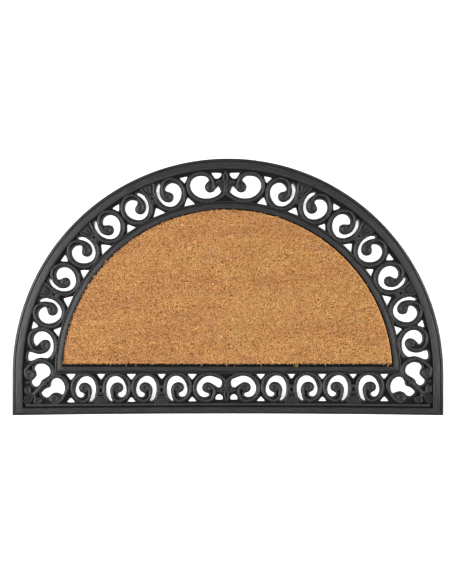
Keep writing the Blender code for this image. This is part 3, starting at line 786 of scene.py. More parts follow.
def add_piece(name, mesh, material, node):
    """A finished piece that stands for a CAD node and rides on the mat's one body."""
    made = bpy.data.objects.new(name, mesh)
    bpy.context.scene.collection.objects.link(made)
    made.data.materials.clear()
    made.data.materials.append(material)
    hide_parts(node)
    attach(made, "root")
    return made


def add_rubber(name, work, finish, sharp=35.0):
    """A finished piece of the moulded mat."""
    return add_piece(name, mesh_of(name, work, sharp), finish, "rubber_mat")


def left_of(loop, hole):
    """An outline turned so that the material is on the left of the walk round it."""
    return list(loop) if (winding(loop) > 0) != hole else list(reversed(loop))


def drawn_in(loop, reach):
    """An outline moved sideways into the material on its left."""
    moved = []
    for i, (x, y) in enumerate(loop):
        before, after = loop[i - 1], loop[(i + 1) % len(loop)]
        run, rise = after[0] - before[0], after[1] - before[1]
        length = math.hypot(run, rise)
        moved.append((x - reach * rise / length, y + reach * run / length))
    return moved


WITHIN_TIES = 1  # delaunay_2d_cdt's kind of output with no triangle outside the tied edges
SAME_POINT = 1e-7  # it joins points that are nearer than this


def filled(points, ties):
    """The triangles of the flat region that has every tied edge on its rim and lies to their left."""
    corners = [Vector(point) for point in points]
    places, _, found, sources, _, _ = geometry.delaunay_2d_cdt(corners, ties, [], WITHIN_TIES, SAME_POINT)
    if len(places) != len(points):
        raise RuntimeError("Two outlines of a slab cross each other")
    faces = [[sources[i][0] for i in face] for face in found]
    beside = {(face[i - 1], face[i]): k for k, face in enumerate(faces) for i in range(3)}
    rim, kept = set(ties), set()
    ahead = [beside[tie] for tie in ties]
    while ahead:
        k = ahead.pop()
        if k not in kept:
            kept.add(k)
            edges = [(faces[k][i - 1], faces[k][i]) for i in range(3)]
            ahead += [beside[b, a] for a, b in edges if (a, b) not in rim]
    return [faces[k] for k in sorted(kept)]


def add_slab(work, loops, bottom, top, rounding):
    """Flat outlines in millimetres, the later ones holes in the first, filled between two heights with a
    rounded top."""
    eased = ROUNDING_MIDDLE * rounding
    rows = ((0.0, bottom), (0.0, top - rounding), (eased, top - eased), (rounding, top))
    floor, roof, flat, ties = [], [], [], []
    for k, loop in enumerate(loops):
        loop = left_of(loop, k > 0)
        count = len(loop)
        rings = []
        for inset, height in rows:
            points = drawn_in(loop, inset)
            rings.append([work.verts.new((x * MM, y * MM, height * MM)) for x, y in points])
        for low, high in zip(rings, rings[1:]):
            for i in range(count):
                work.faces.new((low[i], low[(i + 1) % count], high[(i + 1) % count], high[i]))
        ties += [(len(flat) + i, len(flat) + (i + 1) % count) for i in range(count)]
        flat += points
        floor += rings[0]
        roof += rings[-1]
    for face in filled(flat, ties):
        work.faces.new([floor[i] for i in reversed(face)])
        work.faces.new([roof[i] for i in face])


def reaches(points):
    """How far along a closed line each of its points is, and its whole length last, in metres."""
    found = [0.0]
    for a, b in zip(points, points[1:] + points[:1]):
        found.append(found[-1] + math.dist(a, b) * MM)
    return found


def add_rim(work, rows):
    """A closed ring through outlines, with its map. A row is a radius, a flat side's height and a height."""
    loops = [
        [work.verts.new((x * MM, y * MM, height * MM)) for x, y in outline(radius, flat)]
        for radius, flat, height in rows
    ]
    rim_map = work.loops.layers.uv.new(RIM_MAP)
    along = reaches(outline(*rows[0][:2]))
    across = reaches([(radius, height) for radius, _, height in rows])
    count = len(loops[0])
    for k, loop in enumerate(loops):
        after = loops[(k + 1) % len(loops)]
        for i in range(count):
            j = (i + 1) % count
            face = work.faces.new((loop[i], loop[j], after[j], after[i]))
            for corner, (u, v) in zip(face.loops, ((i, k), (i + 1, k), (i + 1, k + 1), (i, k + 1))):
                corner[rim_map].uv = (along[u], across[v])


def add_dome(work, at, radius, top, stretch=1.0, turn=0.0, dish=0.0):
    """A low round boss, or an oval one, with an eased shoulder and if wished a shallow dish in its top."""
    rise = top - WEB_ROOT
    spin = Matrix.Rotation(turn, 2)
    rings = []
    for share, height, dished in DOME_ROWS:
        reach, level = radius * share, height - dished * dish
        ring = []
        for i in range(DOME_SIDES):
            angle = math.tau * i / DOME_SIDES
            x, y = spin @ Vector((reach * stretch * math.cos(angle), reach * math.sin(angle)))
            ring.append(work.verts.new(((at[0] + x) * MM, (at[1] + y) * MM, (WEB_ROOT + rise * level) * MM)))
        rings.append(ring)
    for low, high in zip(rings, rings[1:]):
        for i in range(DOME_SIDES):
            j = (i + 1) % DOME_SIDES
            work.faces.new((low[i], low[j], high[j], high[i]))
    work.faces.new(rings[0][::-1])
    crown = work.verts.new((at[0] * MM, at[1] * MM, (WEB_ROOT + rise * (1.0 - dish)) * MM))
    for i in range(DOME_SIDES):
        work.faces.new((rings[-1][i], rings[-1][(i + 1) % DOME_SIDES], crown))


# Node trees


def feed(node, inputs):
    """Sets a node's inputs, given in order or by socket number, identifier or name. Each is a value, a socket
    or a node, which stands for its first output."""
    for key, value in (inputs if isinstance(inputs, dict) else dict(enumerate(inputs))).items():
        socket = node.inputs[key] if isinstance(key, int) else None
        socket = socket or next((s for s in node.inputs if s.identifier == key), None) or node.inputs[key]
        if isinstance(value, bpy.types.Node):
            value = value.outputs[0]
        if isinstance(value, bpy.types.NodeSocket):
            node.id_data.links.new(value, socket)
        else:
            socket.default_value = value


def add_node(tree, kind, inputs=(), stops=(), **settings):
    """A node with its settings and inputs, and the stops of its colour ramp where it has one."""
    node = tree.nodes.new(kind)
    for key, value in settings.items():
        setattr(node, key, value)
    while stops and len(node.color_ramp.elements) < len(stops):
        node.color_ramp.elements.new(0.5)
    for k, (at, colour) in enumerate(stops):
        node.color_ramp.elements[k].position = at
        node.color_ramp.elements[k].color = colour
    feed(node, inputs)
    return node


def new_tree(name, inputs):
    """An empty geometry tree with named inputs: (name, socket kind, default)."""
    tree = bpy.data.node_groups.new(name, "GeometryNodeTree")
    tree.interface.new_socket("Geometry", in_out="OUTPUT", socket_type="NodeSocketGeometry")
    tree.interface.new_socket("Geometry", in_out="INPUT", socket_type="NodeSocketGeometry")
    for label, kind, default in inputs:
        tree.interface.new_socket(label, in_out="INPUT", socket_type=kind).default_value = default
    return tree, add_node(tree, "NodeGroupInput").outputs


def end_tree(tree, geometry, material):
    """Every tree ends the same way: its instances made real, and its material set."""
    real = add_node(tree, "GeometryNodeRealizeInstances", {"Geometry": geometry})
    done = add_node(tree, "GeometryNodeSetMaterial", {"Geometry": real, "Material": material})
    add_node(tree, "NodeGroupOutput", {"Geometry": done})


def grown(guide, tree, values):
    """The mesh that a tree makes on a guide object, which is then removed with its modifier."""
    step = guide.modifiers.new(tree.name, "NODES")
    step.node_group = tree
    for item in tree.interface.items_tree:
        if item.item_type == "SOCKET" and item.in_out == "INPUT" and item.name in values:
            step[item.identifier] = values[item.name]
    mesh = bpy.data.meshes.new_from_object(guide.evaluated_get(bpy.context.evaluated_depsgraph_get()))
    guide.modifiers.remove(step)
    bpy.data.objects.remove(guide, do_unlink=True)
    return mesh


def bead_mesh(lines, facets, material, closed=False):
    """Round beads along lines of (x, y, height, bead radius) in millimetres."""
    curve = bpy.data.curves.new("bead_lines", "CURVE")
    curve.dimensions = "3D"
    curve.twist_mode = "Z_UP"
    for line in lines:
        spline = curve.splines.new("POLY")
        spline.points.add(len(line) - 1)
        for item, (x, y, height, radius) in zip(spline.points, line):
            item.co = (x * MM, y * MM, height * MM, 1.0)
            item.radius = radius
        spline.use_cyclic_u = closed
    guide = bpy.data.objects.new("bead_lines", curve)
    bpy.context.scene.collection.objects.link(guide)
    return grown(guide, bead_tree(material), {"Bead radius": MM, "Facets": facets})


def add_beads(work, lines, facets, material, closed=False):
    mesh = bead_mesh(lines, facets, material, closed)
    work.from_mesh(mesh)
    bpy.data.meshes.remove(mesh)


def bead_tree(material):
    """Runs a round bead along every line of a curve, as thick at each point as the line's own radius says."""
    sockets = (("Bead radius", "NodeSocketFloat", 3.0 * MM), ("Facets", "NodeSocketInt", 12))
    tree, given = new_tree("Moulded bead", sockets)
    circle = {"Resolution": given["Facets"], "Radius": given["Bead radius"]}
    section = add_node(tree, "GeometryNodeCurvePrimitiveCircle", circle)
    thick = add_node(tree, "GeometryNodeInputRadius")
    swept = {"Curve": given["Geometry"], "Profile Curve": section, "Scale": thick, "Fill Caps": True}
    end_tree(tree, add_node(tree, "GeometryNodeCurveToMesh", swept), material)
    return tree


def fibre_tree(material):
    """Stands fibres on a patch: they lean with their tuft, and vary in length, width and shade."""
    sockets = (
        ("Density", "NodeSocketFloat", 1000.0),
        ("Length", "NodeSocketFloat", 4.0 * MM),
        ("Width", "NodeSocketFloat", 0.8 * MM),
        ("Lean", "NodeSocketFloat", 0.4),
        ("Tuft size", "NodeSocketFloat", 4.0 * MM),
        ("Tuft lean", "NodeSocketFloat", 0.8),
        ("Seed", "NodeSocketInt", 1),
    )
    tree, given = new_tree("Coir fibres", sockets)
    strewn = {"Mesh": given["Geometry"], "Density": given["Density"], "Seed": given["Seed"]}
    points = add_node(tree, "GeometryNodeDistributePointsOnFaces", strewn)
    position = add_node(tree, "GeometryNodeInputPosition")
    per_metre = add_node(tree, "ShaderNodeMath", (1.0, given["Tuft size"]), operation="DIVIDE")
    tufts = add_node(tree, "ShaderNodeTexNoise", {"Vector": position, "Scale": per_metre, "Detail": 1.0})

    # Which way a fibre leans: with its tuft, and a little its own way
    colour, middle = tufts.outputs["Color"], (0.5, 0.5, 0.5)
    centred = add_node(tree, "ShaderNodeVectorMath", (colour, middle), operation="SUBTRACT")
    any_way = {"Min": (-1.0, -1.0, 0.0), "Max": (1.0, 1.0, 0.0), "Seed": given["Seed"]}
    any_turn = {"Min": (0.0, 0.0, 0.0), "Max": (0.0, 0.0, math.tau), "Seed": SPIN_SEED}
    own, spin = (
        add_node(tree, "FunctionNodeRandomValue", limits, data_type="FLOAT_VECTOR")
        for limits in (any_way, any_turn)
    )
    drawn, strayed = (
        add_node(tree, "ShaderNodeVectorMath", {0: way, "Scale": given[share]}, operation="SCALE")
        for way, share in ((centred, "Tuft lean"), (own, "Lean"))
    )
    sideways = add_node(tree, "ShaderNodeVectorMath", (drawn, strayed))
    flat = add_node(tree, "ShaderNodeVectorMath", (sideways, (1.0, 1.0, 0.0)), operation="MULTIPLY")
    upright = add_node(tree, "ShaderNodeVectorMath", (flat, (0.0, 0.0, 1.0)))
    aim = add_node(tree, "FunctionNodeAlignRotationToVector", {"Rotation": spin, "Vector": upright}, axis="Z")

    # How long, wide and pale it is, and it is longer at its tuft's crest
    tall, broad, pale = (
        add_node(tree, "FunctionNodeRandomValue", limits, data_type="FLOAT")
        for limits in (FIBRE_TALL, FIBRE_BROAD, FIBRE_PALE)
    )
    crest = add_node(tree, "ShaderNodeMapRange", (tufts, *TUFT_SPAN, *FIBRE_CREST))
    reach = add_node(tree, "ShaderNodeMath", (tall.outputs[1], crest), operation="MULTIPLY")
    long = add_node(tree, "ShaderNodeMath", (reach, given["Length"]), operation="MULTIPLY")
    wide = add_node(tree, "ShaderNodeMath", (broad.outputs[1], given["Width"]), operation="MULTIPLY")
    size = add_node(tree, "ShaderNodeCombineXYZ", (wide, wide, long))
    shade = add_node(tree, "ShaderNodeMapRange", (tufts, *NOISE_SPAN, -TUFT_SHADE, TUFT_SHADE))
    tinted = add_node(tree, "ShaderNodeMath", (shade, pale.outputs[1]))
    shaded = {"Geometry": points, "Name": "shade", "Value": tinted}
    kept = add_node(tree, "GeometryNodeStoreNamedAttribute", shaded, data_type="FLOAT", domain="POINT")

    cone = {"Vertices": 3, "Radius Top": 0.0, "Radius Bottom": 0.5, "Depth": 1.0}
    spike = add_node(tree, "GeometryNodeMeshCone", cone, fill_type="NGON")
    stood = {"Points": kept, "Instance": spike, "Rotation": aim, "Scale": size}
    end_tree(tree, add_node(tree, "GeometryNodeInstanceOnPoints", stood), material)
    return tree


# Materials


def linear(colour):
    """An sRGB hex colour as the linear values that a shader takes."""
    parts = [int(colour[i : i + 2], 16) / 255 for i in (1, 3, 5)]
    return tuple(p / 12.92 if p <= 0.04045 else ((p + 0.055) / 1.055) ** 2.4 for p in parts) + (1.0,)


def darker(colour, share):
    return tuple(part * share for part in colour[:3]) + (1.0,)


def ramp(low, high):
    """Colour stops from a noise's lows to its highs."""
    return tuple(zip(NOISE_SPAN, (low, high)))


def new_material(name):
    """A new material, its tree, its shader and the object coordinates that its patterns lie on."""
    made = bpy.data.materials.new(name)
    made.use_nodes = True
    tree = made.node_tree
    return made, tree, tree.nodes["Principled BSDF"], add_node(tree, "ShaderNodeTexCoord").outputs["Object"]


def finish_named(name, make, *facts):
    """The material of that name, made the first time that it is asked for."""
    return bpy.data.materials.get(name) or make(name, *facts)


def cells(size):
    """How many cells of a pattern go to the metre when one is this many millimetres across."""
    return 1.0 / (size * MM)


def moulded_rubber(name, colours, heights, streaked):
    """Crumb rubber pressed in a mould: charcoal and half dull, with a fine grain and a slight unevenness that
    break up its highlights. Low down it is painted darker, as shade in its recesses, and its specular level
    falls with that painted shade, so raised work shows its full grey. The openwork is speckled by its crumb,
    and the rims are streaked by the cutter that went round their mould. Both are drawn about twice as coarse
    as they are, to show."""
    made, tree, shader, at = new_material(name)
    grain, bloom, uneven = (
        add_node(tree, "ShaderNodeTexNoise", {"Vector": at, "Scale": cells(size), **more})
        for size, more in (RUBBER_GRAIN, RUBBER_BLOOM, RUBBER_UNEVEN)
    )
    base = linear(colours.rubber)
    blooms = ramp(*(darker(base, share) for share in BLOOM_SHARES))
    mottle = add_node(tree, "ShaderNodeValToRGB", (bloom,), blooms)
    height = add_node(tree, "ShaderNodeSeparateXYZ", (at,)).outputs[2]
    low, high = (limit * MM for limit in heights)
    # painted shade in the recesses: the tone falls towards the floor
    recess_shade = add_node(tree, "ShaderNodeMapRange", (height, low, high, RECESS_SHADE_SHARE, 1.0))
    if streaked:
        shares = RIM_SHARES
        unrolled = add_node(tree, "ShaderNodeUVMap", uv_map=RIM_MAP)
        long_and_thin = (*map(cells, RIM_STREAK), 1.0)
        drawn = add_node(tree, "ShaderNodeVectorMath", (unrolled, long_and_thin), operation="MULTIPLY")
        marks = add_node(tree, "ShaderNodeTexNoise", {"Vector": drawn, "Scale": 1.0, "Detail": 2.0})
    else:
        shares = CRUMB_SHARES
        crumb = {"Vector": at, "Scale": cells(RUBBER_CRUMB), "Detail": 2.0}
        marks = add_node(tree, "ShaderNodeTexNoise", crumb)
    marked = add_node(tree, "ShaderNodeMapRange", (marks, *NOISE_SPAN, *shares))
    recess_shade_and_marks = add_node(tree, "ShaderNodeMath", (recess_shade, marked), operation="MULTIPLY")
    tone = add_node(tree, "ShaderNodeVectorMath", {0: mottle, "Scale": recess_shade_and_marks}, operation="SCALE")
    dull = add_node(tree, "ShaderNodeMapRange", (grain, *NOISE_SPAN, *RUBBER_ROUGHNESS))
    # the specular level falls with the painted recess shade too
    sheen = add_node(tree, "ShaderNodeMath", (recess_shade_and_marks, RUBBER_SPECULAR), operation="MULTIPLY")
    fine = add_node(tree, "ShaderNodeBump", {"Height": grain, **GRAIN_BUMP})
    bump = add_node(tree, "ShaderNodeBump", {"Height": uneven, "Normal": fine, **LUMP_BUMP})
    feed(shader, {"Base Color": tone, "Roughness": dull, "Specular IOR Level": sheen, "Normal": bump})
    shader.inputs["Specular IOR Level"].default_value = PLAIN_SPECULAR
    shader.inputs["IOR"].default_value = 1.5
    return made


def openwork_rubber(context):
    return finish_named("Moulded rubber", moulded_rubber, context.scene.doormat_colours, WEB_RECESS_SHADE, False)


def rim_rubber(context):
    return finish_named("Moulded rubber, rims", moulded_rubber, context.scene.doormat_colours, RIM_RECESS_SHADE, True)


def broad_bands(tree, at):
    """Broad, faint bands and clouds of darker, redder tone, drawn out across the mat."""
    across = add_node(tree, "ShaderNodeVectorMath", (at, COIR_DRAWN_OUT), operation="MULTIPLY")
    bands, clouds = (
        add_node(tree, "ShaderNodeTexNoise", {"Vector": across, "Scale": cells(size), "Detail": 2.0})
        for size in (COIR_BAND, COIR_CLOUD)
    )
    both = add_node(tree, "ShaderNodeMath", (bands, clouds), operation="ADD")
    half = add_node(tree, "ShaderNodeMath", (both, 0.5), operation="MULTIPLY")
    return add_node(tree, "ShaderNodeValToRGB", (half,), COIR_BROWNS)


def coir_fibre(name, colours, ground, top):
    """Coconut fibre, cut and left undyed: dry and dull, each fibre its own brown from its "shade" value, and
    painted darker down at its root as shade among the fibres. Every few millimetres a gap in the pile is
    painted in as shade, dark and reddish, and the pile is paler between. A fibre lets light through, so its
    shading is eased towards the pile's own face."""
    made, tree, shader, at = new_material(name)
    shade = add_node(tree, "ShaderNodeAttribute", attribute_name="shade").outputs["Fac"]
    dark, middle, pale = linear(colours.coir_dark), linear(colours.coir_middle), linear(colours.coir_pale)
    stops = ((0.0, dark), (COIR_DUSK[0], darker(middle, COIR_DUSK[1])), (0.5, middle), (1.0, pale))
    own_tint = add_node(tree, "ShaderNodeValToRGB", (shade,), stops)
    gape = add_node(tree, "ShaderNodeTexNoise", {"Vector": at, "Scale": cells(COIR_GAPE), "Detail": 1.0})
    straw = add_node(tree, "ShaderNodeValToRGB", (gape,), COIR_STRAW)
    tint = add_node(tree, "ShaderNodeVectorMath", (own_tint, straw), operation="MULTIPLY")
    # painted shade where the pile gapes: the fibres there take the darkest coir colour
    closed = add_node(tree, "ShaderNodeMapRange", (gape, *COIR_GAP_SHADE_FADE, 0.0, 1.0))
    gap_shading = {"Factor_Float": closed, "A_Color": dark, "B_Color": tint}
    pile = add_node(tree, "ShaderNodeMix", gap_shading, data_type="RGBA").outputs[2]
    height = add_node(tree, "ShaderNodeSeparateXYZ", (at,)).outputs[2]
    # painted shade, darker towards a fibre's root
    lit = add_node(tree, "ShaderNodeMapRange", (height, ground, top, COIR_ROOT_SHADE, 1.0))
    shaded = add_node(tree, "ShaderNodeVectorMath", {0: pile, "Scale": lit}, operation="SCALE")
    tone = add_node(tree, "ShaderNodeVectorMath", (shaded, broad_bands(tree, at)), operation="MULTIPLY")
    own = add_node(tree, "ShaderNodeNewGeometry").outputs["Normal"]
    part = add_node(tree, "ShaderNodeVectorMath", {0: own, "Scale": COIR_OWN_SHADING}, operation="SCALE")
    upward = add_node(tree, "ShaderNodeVectorMath", (part, (0.0, 0.0, 1.0)))
    soft = add_node(tree, "ShaderNodeVectorMath", (upward,), operation="NORMALIZE")
    feed(shader, {"Base Color": tone, "Normal": soft, "Roughness": 0.8, "Specular IOR Level": 0.3})
    return made


def coir_ground(name, colours):
    """The pressed foot of the coir pile, seen only between the fibres: dark, matted and rough."""
    made, tree, shader, at = new_material(name)
    felt = {"Vector": at, "Scale": cells(COIR_MATTING), "Detail": 4.0, "Roughness": 0.7}
    matted = add_node(tree, "ShaderNodeTexNoise", felt)
    dark, middle = linear(colours.coir_dark), linear(colours.coir_middle)
    tone = add_node(tree, "ShaderNodeValToRGB", (matted,), ramp(dark, darker(middle, MATTING_PALEST)))
    bump = add_node(tree, "ShaderNodeBump", {"Height": matted, **MATTING_BUMP})
    feed(shader, {"Base Color": tone, "Normal": bump, "Roughness": 0.9})
    return made


def pale_floor(name, colours):
    """Matt white studio floor, rolled on and lit a little from beneath as a light table is: almost even."""
    made, tree, shader, at = new_material(name)
    rolled = add_node(tree, "ShaderNodeTexNoise", {"Vector": at, "Scale": cells(FLOOR_NAP), "Detail": 2.0})
    base = linear(colours.floor)
    tone = add_node(tree, "ShaderNodeValToRGB", (rolled,), ramp(darker(base, FLOOR_DARKEST), base))
    glow = {"Emission Color": WHITE, "Emission Strength": FLOOR_GLOW}
    feed(shader, {"Base Color": tone, "Roughness": 0.9, "Specular IOR Level": 0.2, **glow})
    return made


# Operators


class DOORMAT_OT_web(bpy.types.Operator):
    """Make the flat web with its scroll openings, and the floor of the tray in its middle"""

    bl_idname = "doormat.web"
    bl_label = "Openwork Web"

    def execute(self, context):
        sizes = context.scene.doormat_sizes
        edge = outline(ARCH_RADIUS - WEB_INSET[0], WEB_INSET[1] - STRAIGHT_SIDE)
        cut = openings()
        work = bmesh.new()
        hole = tray_outline(-TRAY_HOLE, -TRAY_HOLE)
        add_slab(work, [edge, hole] + cut, 0.0, sizes.web_top / MM, sizes.web_round / MM)
        add_slab(work, [tray_outline(-TRAY_PLATE, -TRAY_PLATE)], 2 * LIFT, TRAY_FLOOR, TRAY_ROUND)
        web = add_rubber("openwork_web", work, openwork_rubber(context))
        web["flat_area"] = (area_of(outline(ARCH_RADIUS, -STRAIGHT_SIDE)) - sum(map(area_of, cut))) * MM * MM
        return {"FINISHED"}


class DOORMAT_OT_rims(bpy.types.Operator):
    """Make the border round the mat, the frame round the coir, and the ridge along the straight edge"""

    bl_idname = "doormat.rims"
    bl_label = "Border and Frame"

    def execute(self, context):
        border = [(ARCH_RADIUS - arch, edge - STRAIGHT_SIDE, height) for arch, edge, height in BORDER]
        for name, rows in (("outer_border", border), ("coir_frame", FRAME)):
            work = bmesh.new()
            add_rim(work, rows)
            add_rubber(name, work, rim_rubber(context), sharp=40.0)
        low = CENTRE_Y - STRAIGHT_SIDE + RIDGE_INSET - RIDGE_HALF
        high = low + 2 * RIDGE_HALF
        steps = [RIDGE_END * (2 * i / EDGE_STEPS - 1) for i in range(EDGE_STEPS + 1)]
        line = [bowed((x, low)) for x in steps] + [bowed((x, high)) for x in reversed(steps)]
        work = bmesh.new()
        add_slab(work, [line], WEB_ROOT, context.scene.doormat_sizes.ridge_top / MM, RIDGE_ROUND)
        add_rubber("edge_ridge", work, openwork_rubber(context))
        return {"FINISHED"}


def passed(share, start, over):
    """How much of a stretch of the way lies behind a share of it, from 0 to 1."""
    return min(1.0, max(0.0, (share - start) / over))


class DOORMAT_OT_beads(bpy.types.Operator):
    """Run a bead round every scroll and lobe and in to its knob, and a lip round its opening"""

    bl_idname = "doormat.beads"
    bl_label = "Scroll Beads"

    def execute(self, context):
        sizes = context.scene.doormat_sizes
        rubber = openwork_rubber(context)
        thick, axis = sizes.bead_radius / MM, sizes.bead_height / MM
        lip = (sizes.lip_height / MM, sizes.lip_radius / MM)
        taper_from, taper_over, thinner = BEAD_TAPER
        climb_from, climb_over, higher = BEAD_CLIMB
        beads, lips = [], []
        for side in (1, -1):
            for scroll, where, _ in scroll_places(side):
                line = flowing(strand_of(scroll))
                bead = []
                for i, (x, y) in enumerate(line):
                    share = i / (len(line) - 1)
                    radius = thick * (1.0 - thinner * passed(share, taper_from, taper_over))
                    bead.append((x, y, axis + higher * passed(share, climb_from, climb_over), radius))
                beads.append(place_line(bead, where))
                edge = walk(softened(place(opening_of(scroll), *where)), LIP_STEP, True)
                lips.append([point + lip for point in drawn_in(left_of(edge, True), lip[1])])
        for name, lines, facets, closed, sharp in (
            ("opening_lips", lips, LIP_FACETS, True, 60.0),
            ("scroll_beads", beads, sizes.bead_facets, False, 50.0),
        ):
            work = bmesh.new()
            add_beads(work, lines, facets, rubber, closed)
            add_rubber(name, work, rubber, sharp)
        return {"FINISHED"}


class DOORMAT_OT_knobs(bpy.types.Operator):
    """Set the low knob that each curl ends on"""

    bl_idname = "doormat.knobs"
    bl_label = "Scroll Knobs"

    def execute(self, context):
        top = context.scene.doormat_sizes.knob_top / MM
        work = bmesh.new()
        for side in (1, -1):
            for scroll, where, radius in scroll_places(side):
                add_dome(work, place([scroll["knob_at"]], *where)[0], radius, top, dish=KNOB_DISH)
        add_rubber("scroll_knobs", work, openwork_rubber(context))
        return {"FINISHED"}


# Clasps: the right half of the tie and of its foot, the pit in the tie, how much lower the foot is, and beads
# whose points are (across, outwards, height, bead radius). A bar is given by its right end.
CLASPS = {
    "arch clasp": {
        "tie": ((5.6, -7.0), (4.9, 0.0), (5.4, 9.0), (5.6, 12.0)),
        "pit": polar((0.0, 4.0), [(turn, 2.1) for turn in range(0, 360, 30)]),
        "foot": ((5.8, 11.0), (9.6, 18.6), (13.4, 25.0), (13.4, 30.0)),
        "foot_drop": 1.5,
        "bosses": ((-3.9, 4.2), (3.9, 4.2)),
        "rails": (
            ((5.0, 10.5, 6.0, 1.6), (7.0, 14.5, 6.0, 2.2), (9.8, 20.0, 6.0, 2.4), (12.0, 26.5, 5.8, 2.2)),
            ((1.6, 13.5, 5.4, 1.4), (2.4, 18.0, 5.4, 1.8), (4.0, 25.0, 5.2, 1.6)),
        ),
        "bars": ((5.6, 10.6, 6.5, 1.4), (5.2, -2.6, 6.2, 1.3)),
    },
    "row clasp": {
        "tie": ((6.0, -6.0), (5.7, 0.0), (6.8, 5.6), (7.4, 10.2)),
        "pit": [(-2.5, -0.4), (2.5, -0.4), (2.5, 5.6), (-2.5, 5.6)],
        "foot": ((7.6, 11.8), (9.2, 17.0), (12.0, 23.0), (12.6, 28.0)),
        "foot_drop": 1.3,
        "bosses": (),
        "rails": (((7.3, 12.0, 5.7, 1.2), (9.0, 17.0, 5.8, 1.2), (11.9, 23.0, 5.8, 1.2)),),
        "bars": ((7.4, 9.0, 6.7, 1.5), (7.6, 13.4, 6.3, 1.2)),
    },
}
CLASP_STEP = 0.8
CLASP_SOFTENING = (2, 1)  # passes on an outline and on the pit in it
BOSS_RADIUS = 2.3
BOSS_RISE = 1.1  # over the tie's top
BOSS_STRETCH = 1.7


class DOORMAT_OT_clasps(bpy.types.Operator):
    """Tie neighbouring scrolls together with clasps that widen into a pedestal at the border"""

    bl_idname = "doormat.clasps"
    bl_label = "Clasps"

    def execute(self, context):
        sizes = context.scene.doormat_sizes
        rubber = openwork_rubber(context)
        top = sizes.clasp_top / MM
        work = bmesh.new()
        lines = []
        for kind, where in gap_places(1) + gap_places(-1):
            if kind not in CLASPS:
                continue
            clasp, out = CLASPS[kind], where[2]
            for boss in clasp["bosses"]:
                at = place([boss], *where)[0]
                add_dome(work, at, BOSS_RADIUS, top + BOSS_RISE, BOSS_STRETCH, math.atan2(out[1], out[0]))
            tie, foot = mirrored(clasp["tie"]), mirrored(clasp["foot"])
            for shapes, height in (((tie, clasp["pit"]), top), ((foot,), top - clasp["foot_drop"])):
                loops = [
                    softened(place(shape, *where), CLASP_STEP, passes)
                    for shape, passes in zip(shapes, CLASP_SOFTENING)
                ]
                add_slab(work, loops, WEB_ROOT, height, RUBBER_ROUND)
            for rail in clasp["rails"]:
                lines += [place_line(flowing(line), where) for line in (rail, flipped(rail))]
            lines += [place_line(flipped([end]) + [end], where) for end in clasp["bars"]]
        add_beads(work, lines, sizes.bead_facets, rubber)
        add_rubber("clasps", work, rubber)
        return {"FINISHED"}


def leaf_rib(aside):
    """One rib of the corner's leaf, in the corner's own frame."""
    run, rise = math.cos(math.radians(LEAF_TURN)), math.sin(math.radians(LEAF_TURN))
    rib = []
    for share, spread, height, radius in LEAF_RIB:
        reach = LEAF_HALF * share * (LEAF_LONGEST - LEAF_SHORTER * abs(aside))
        off = LEAF_SPACING * aside * spread
        x, y = LEAF_AT[0] + run * reach - rise * off, LEAF_AT[1] + rise * reach + run * off
        rib.append((x, y, height, radius))
    return rib


class DOORMAT_OT_posts(bpy.types.Operator):
    """Make the two middle posts and their ribbons, and the stem, petals and ribbed leaf at each corner"""

    bl_idname = "doormat.posts"
    bl_label = "Posts and Leaves"

    def execute(self, context):
        sizes = context.scene.doormat_sizes
        rubber = openwork_rubber(context)
        work = bmesh.new()
        lines = []
        for side in (1, -1):
            for post, where in post_frames(side):
                lines += [place_line(flowing(line), where) for line in post["sides"]]
            corner = upright_frame(CORNER_AT, side, 1)
            corner_lines = [*CORNER_LINES, *map(leaf_rib, LEAF_RIBS)]
            lines += [place_line(flowing(line), corner) for line in corner_lines]
            for at, radius, height, stretch, turn, dish in CORNER_DOMES:
                turned = side * math.radians(turn)
                add_dome(work, place([at], *corner)[0], radius, height, stretch, turned, dish)
        for post, where in post_frames(1):
            for half, height, rounding in (
                (post["body"], POST_BODY_TOP, RUBBER_ROUND),
                (post["rod"], POST_TOP, POST_ROUND),
            ):
                add_slab(work, [softened(place(mirrored(half), *where))], WEB_ROOT, height, rounding)
            add_dome(work, place([(0.0, post["leaf"])], *where)[0], *POST_LEAF, math.pi / 2)
        add_beads(work, lines, sizes.bead_facets, rubber)
        add_rubber("posts_and_leaves", work, rubber, sharp=45.0)
        return {"FINISHED"}


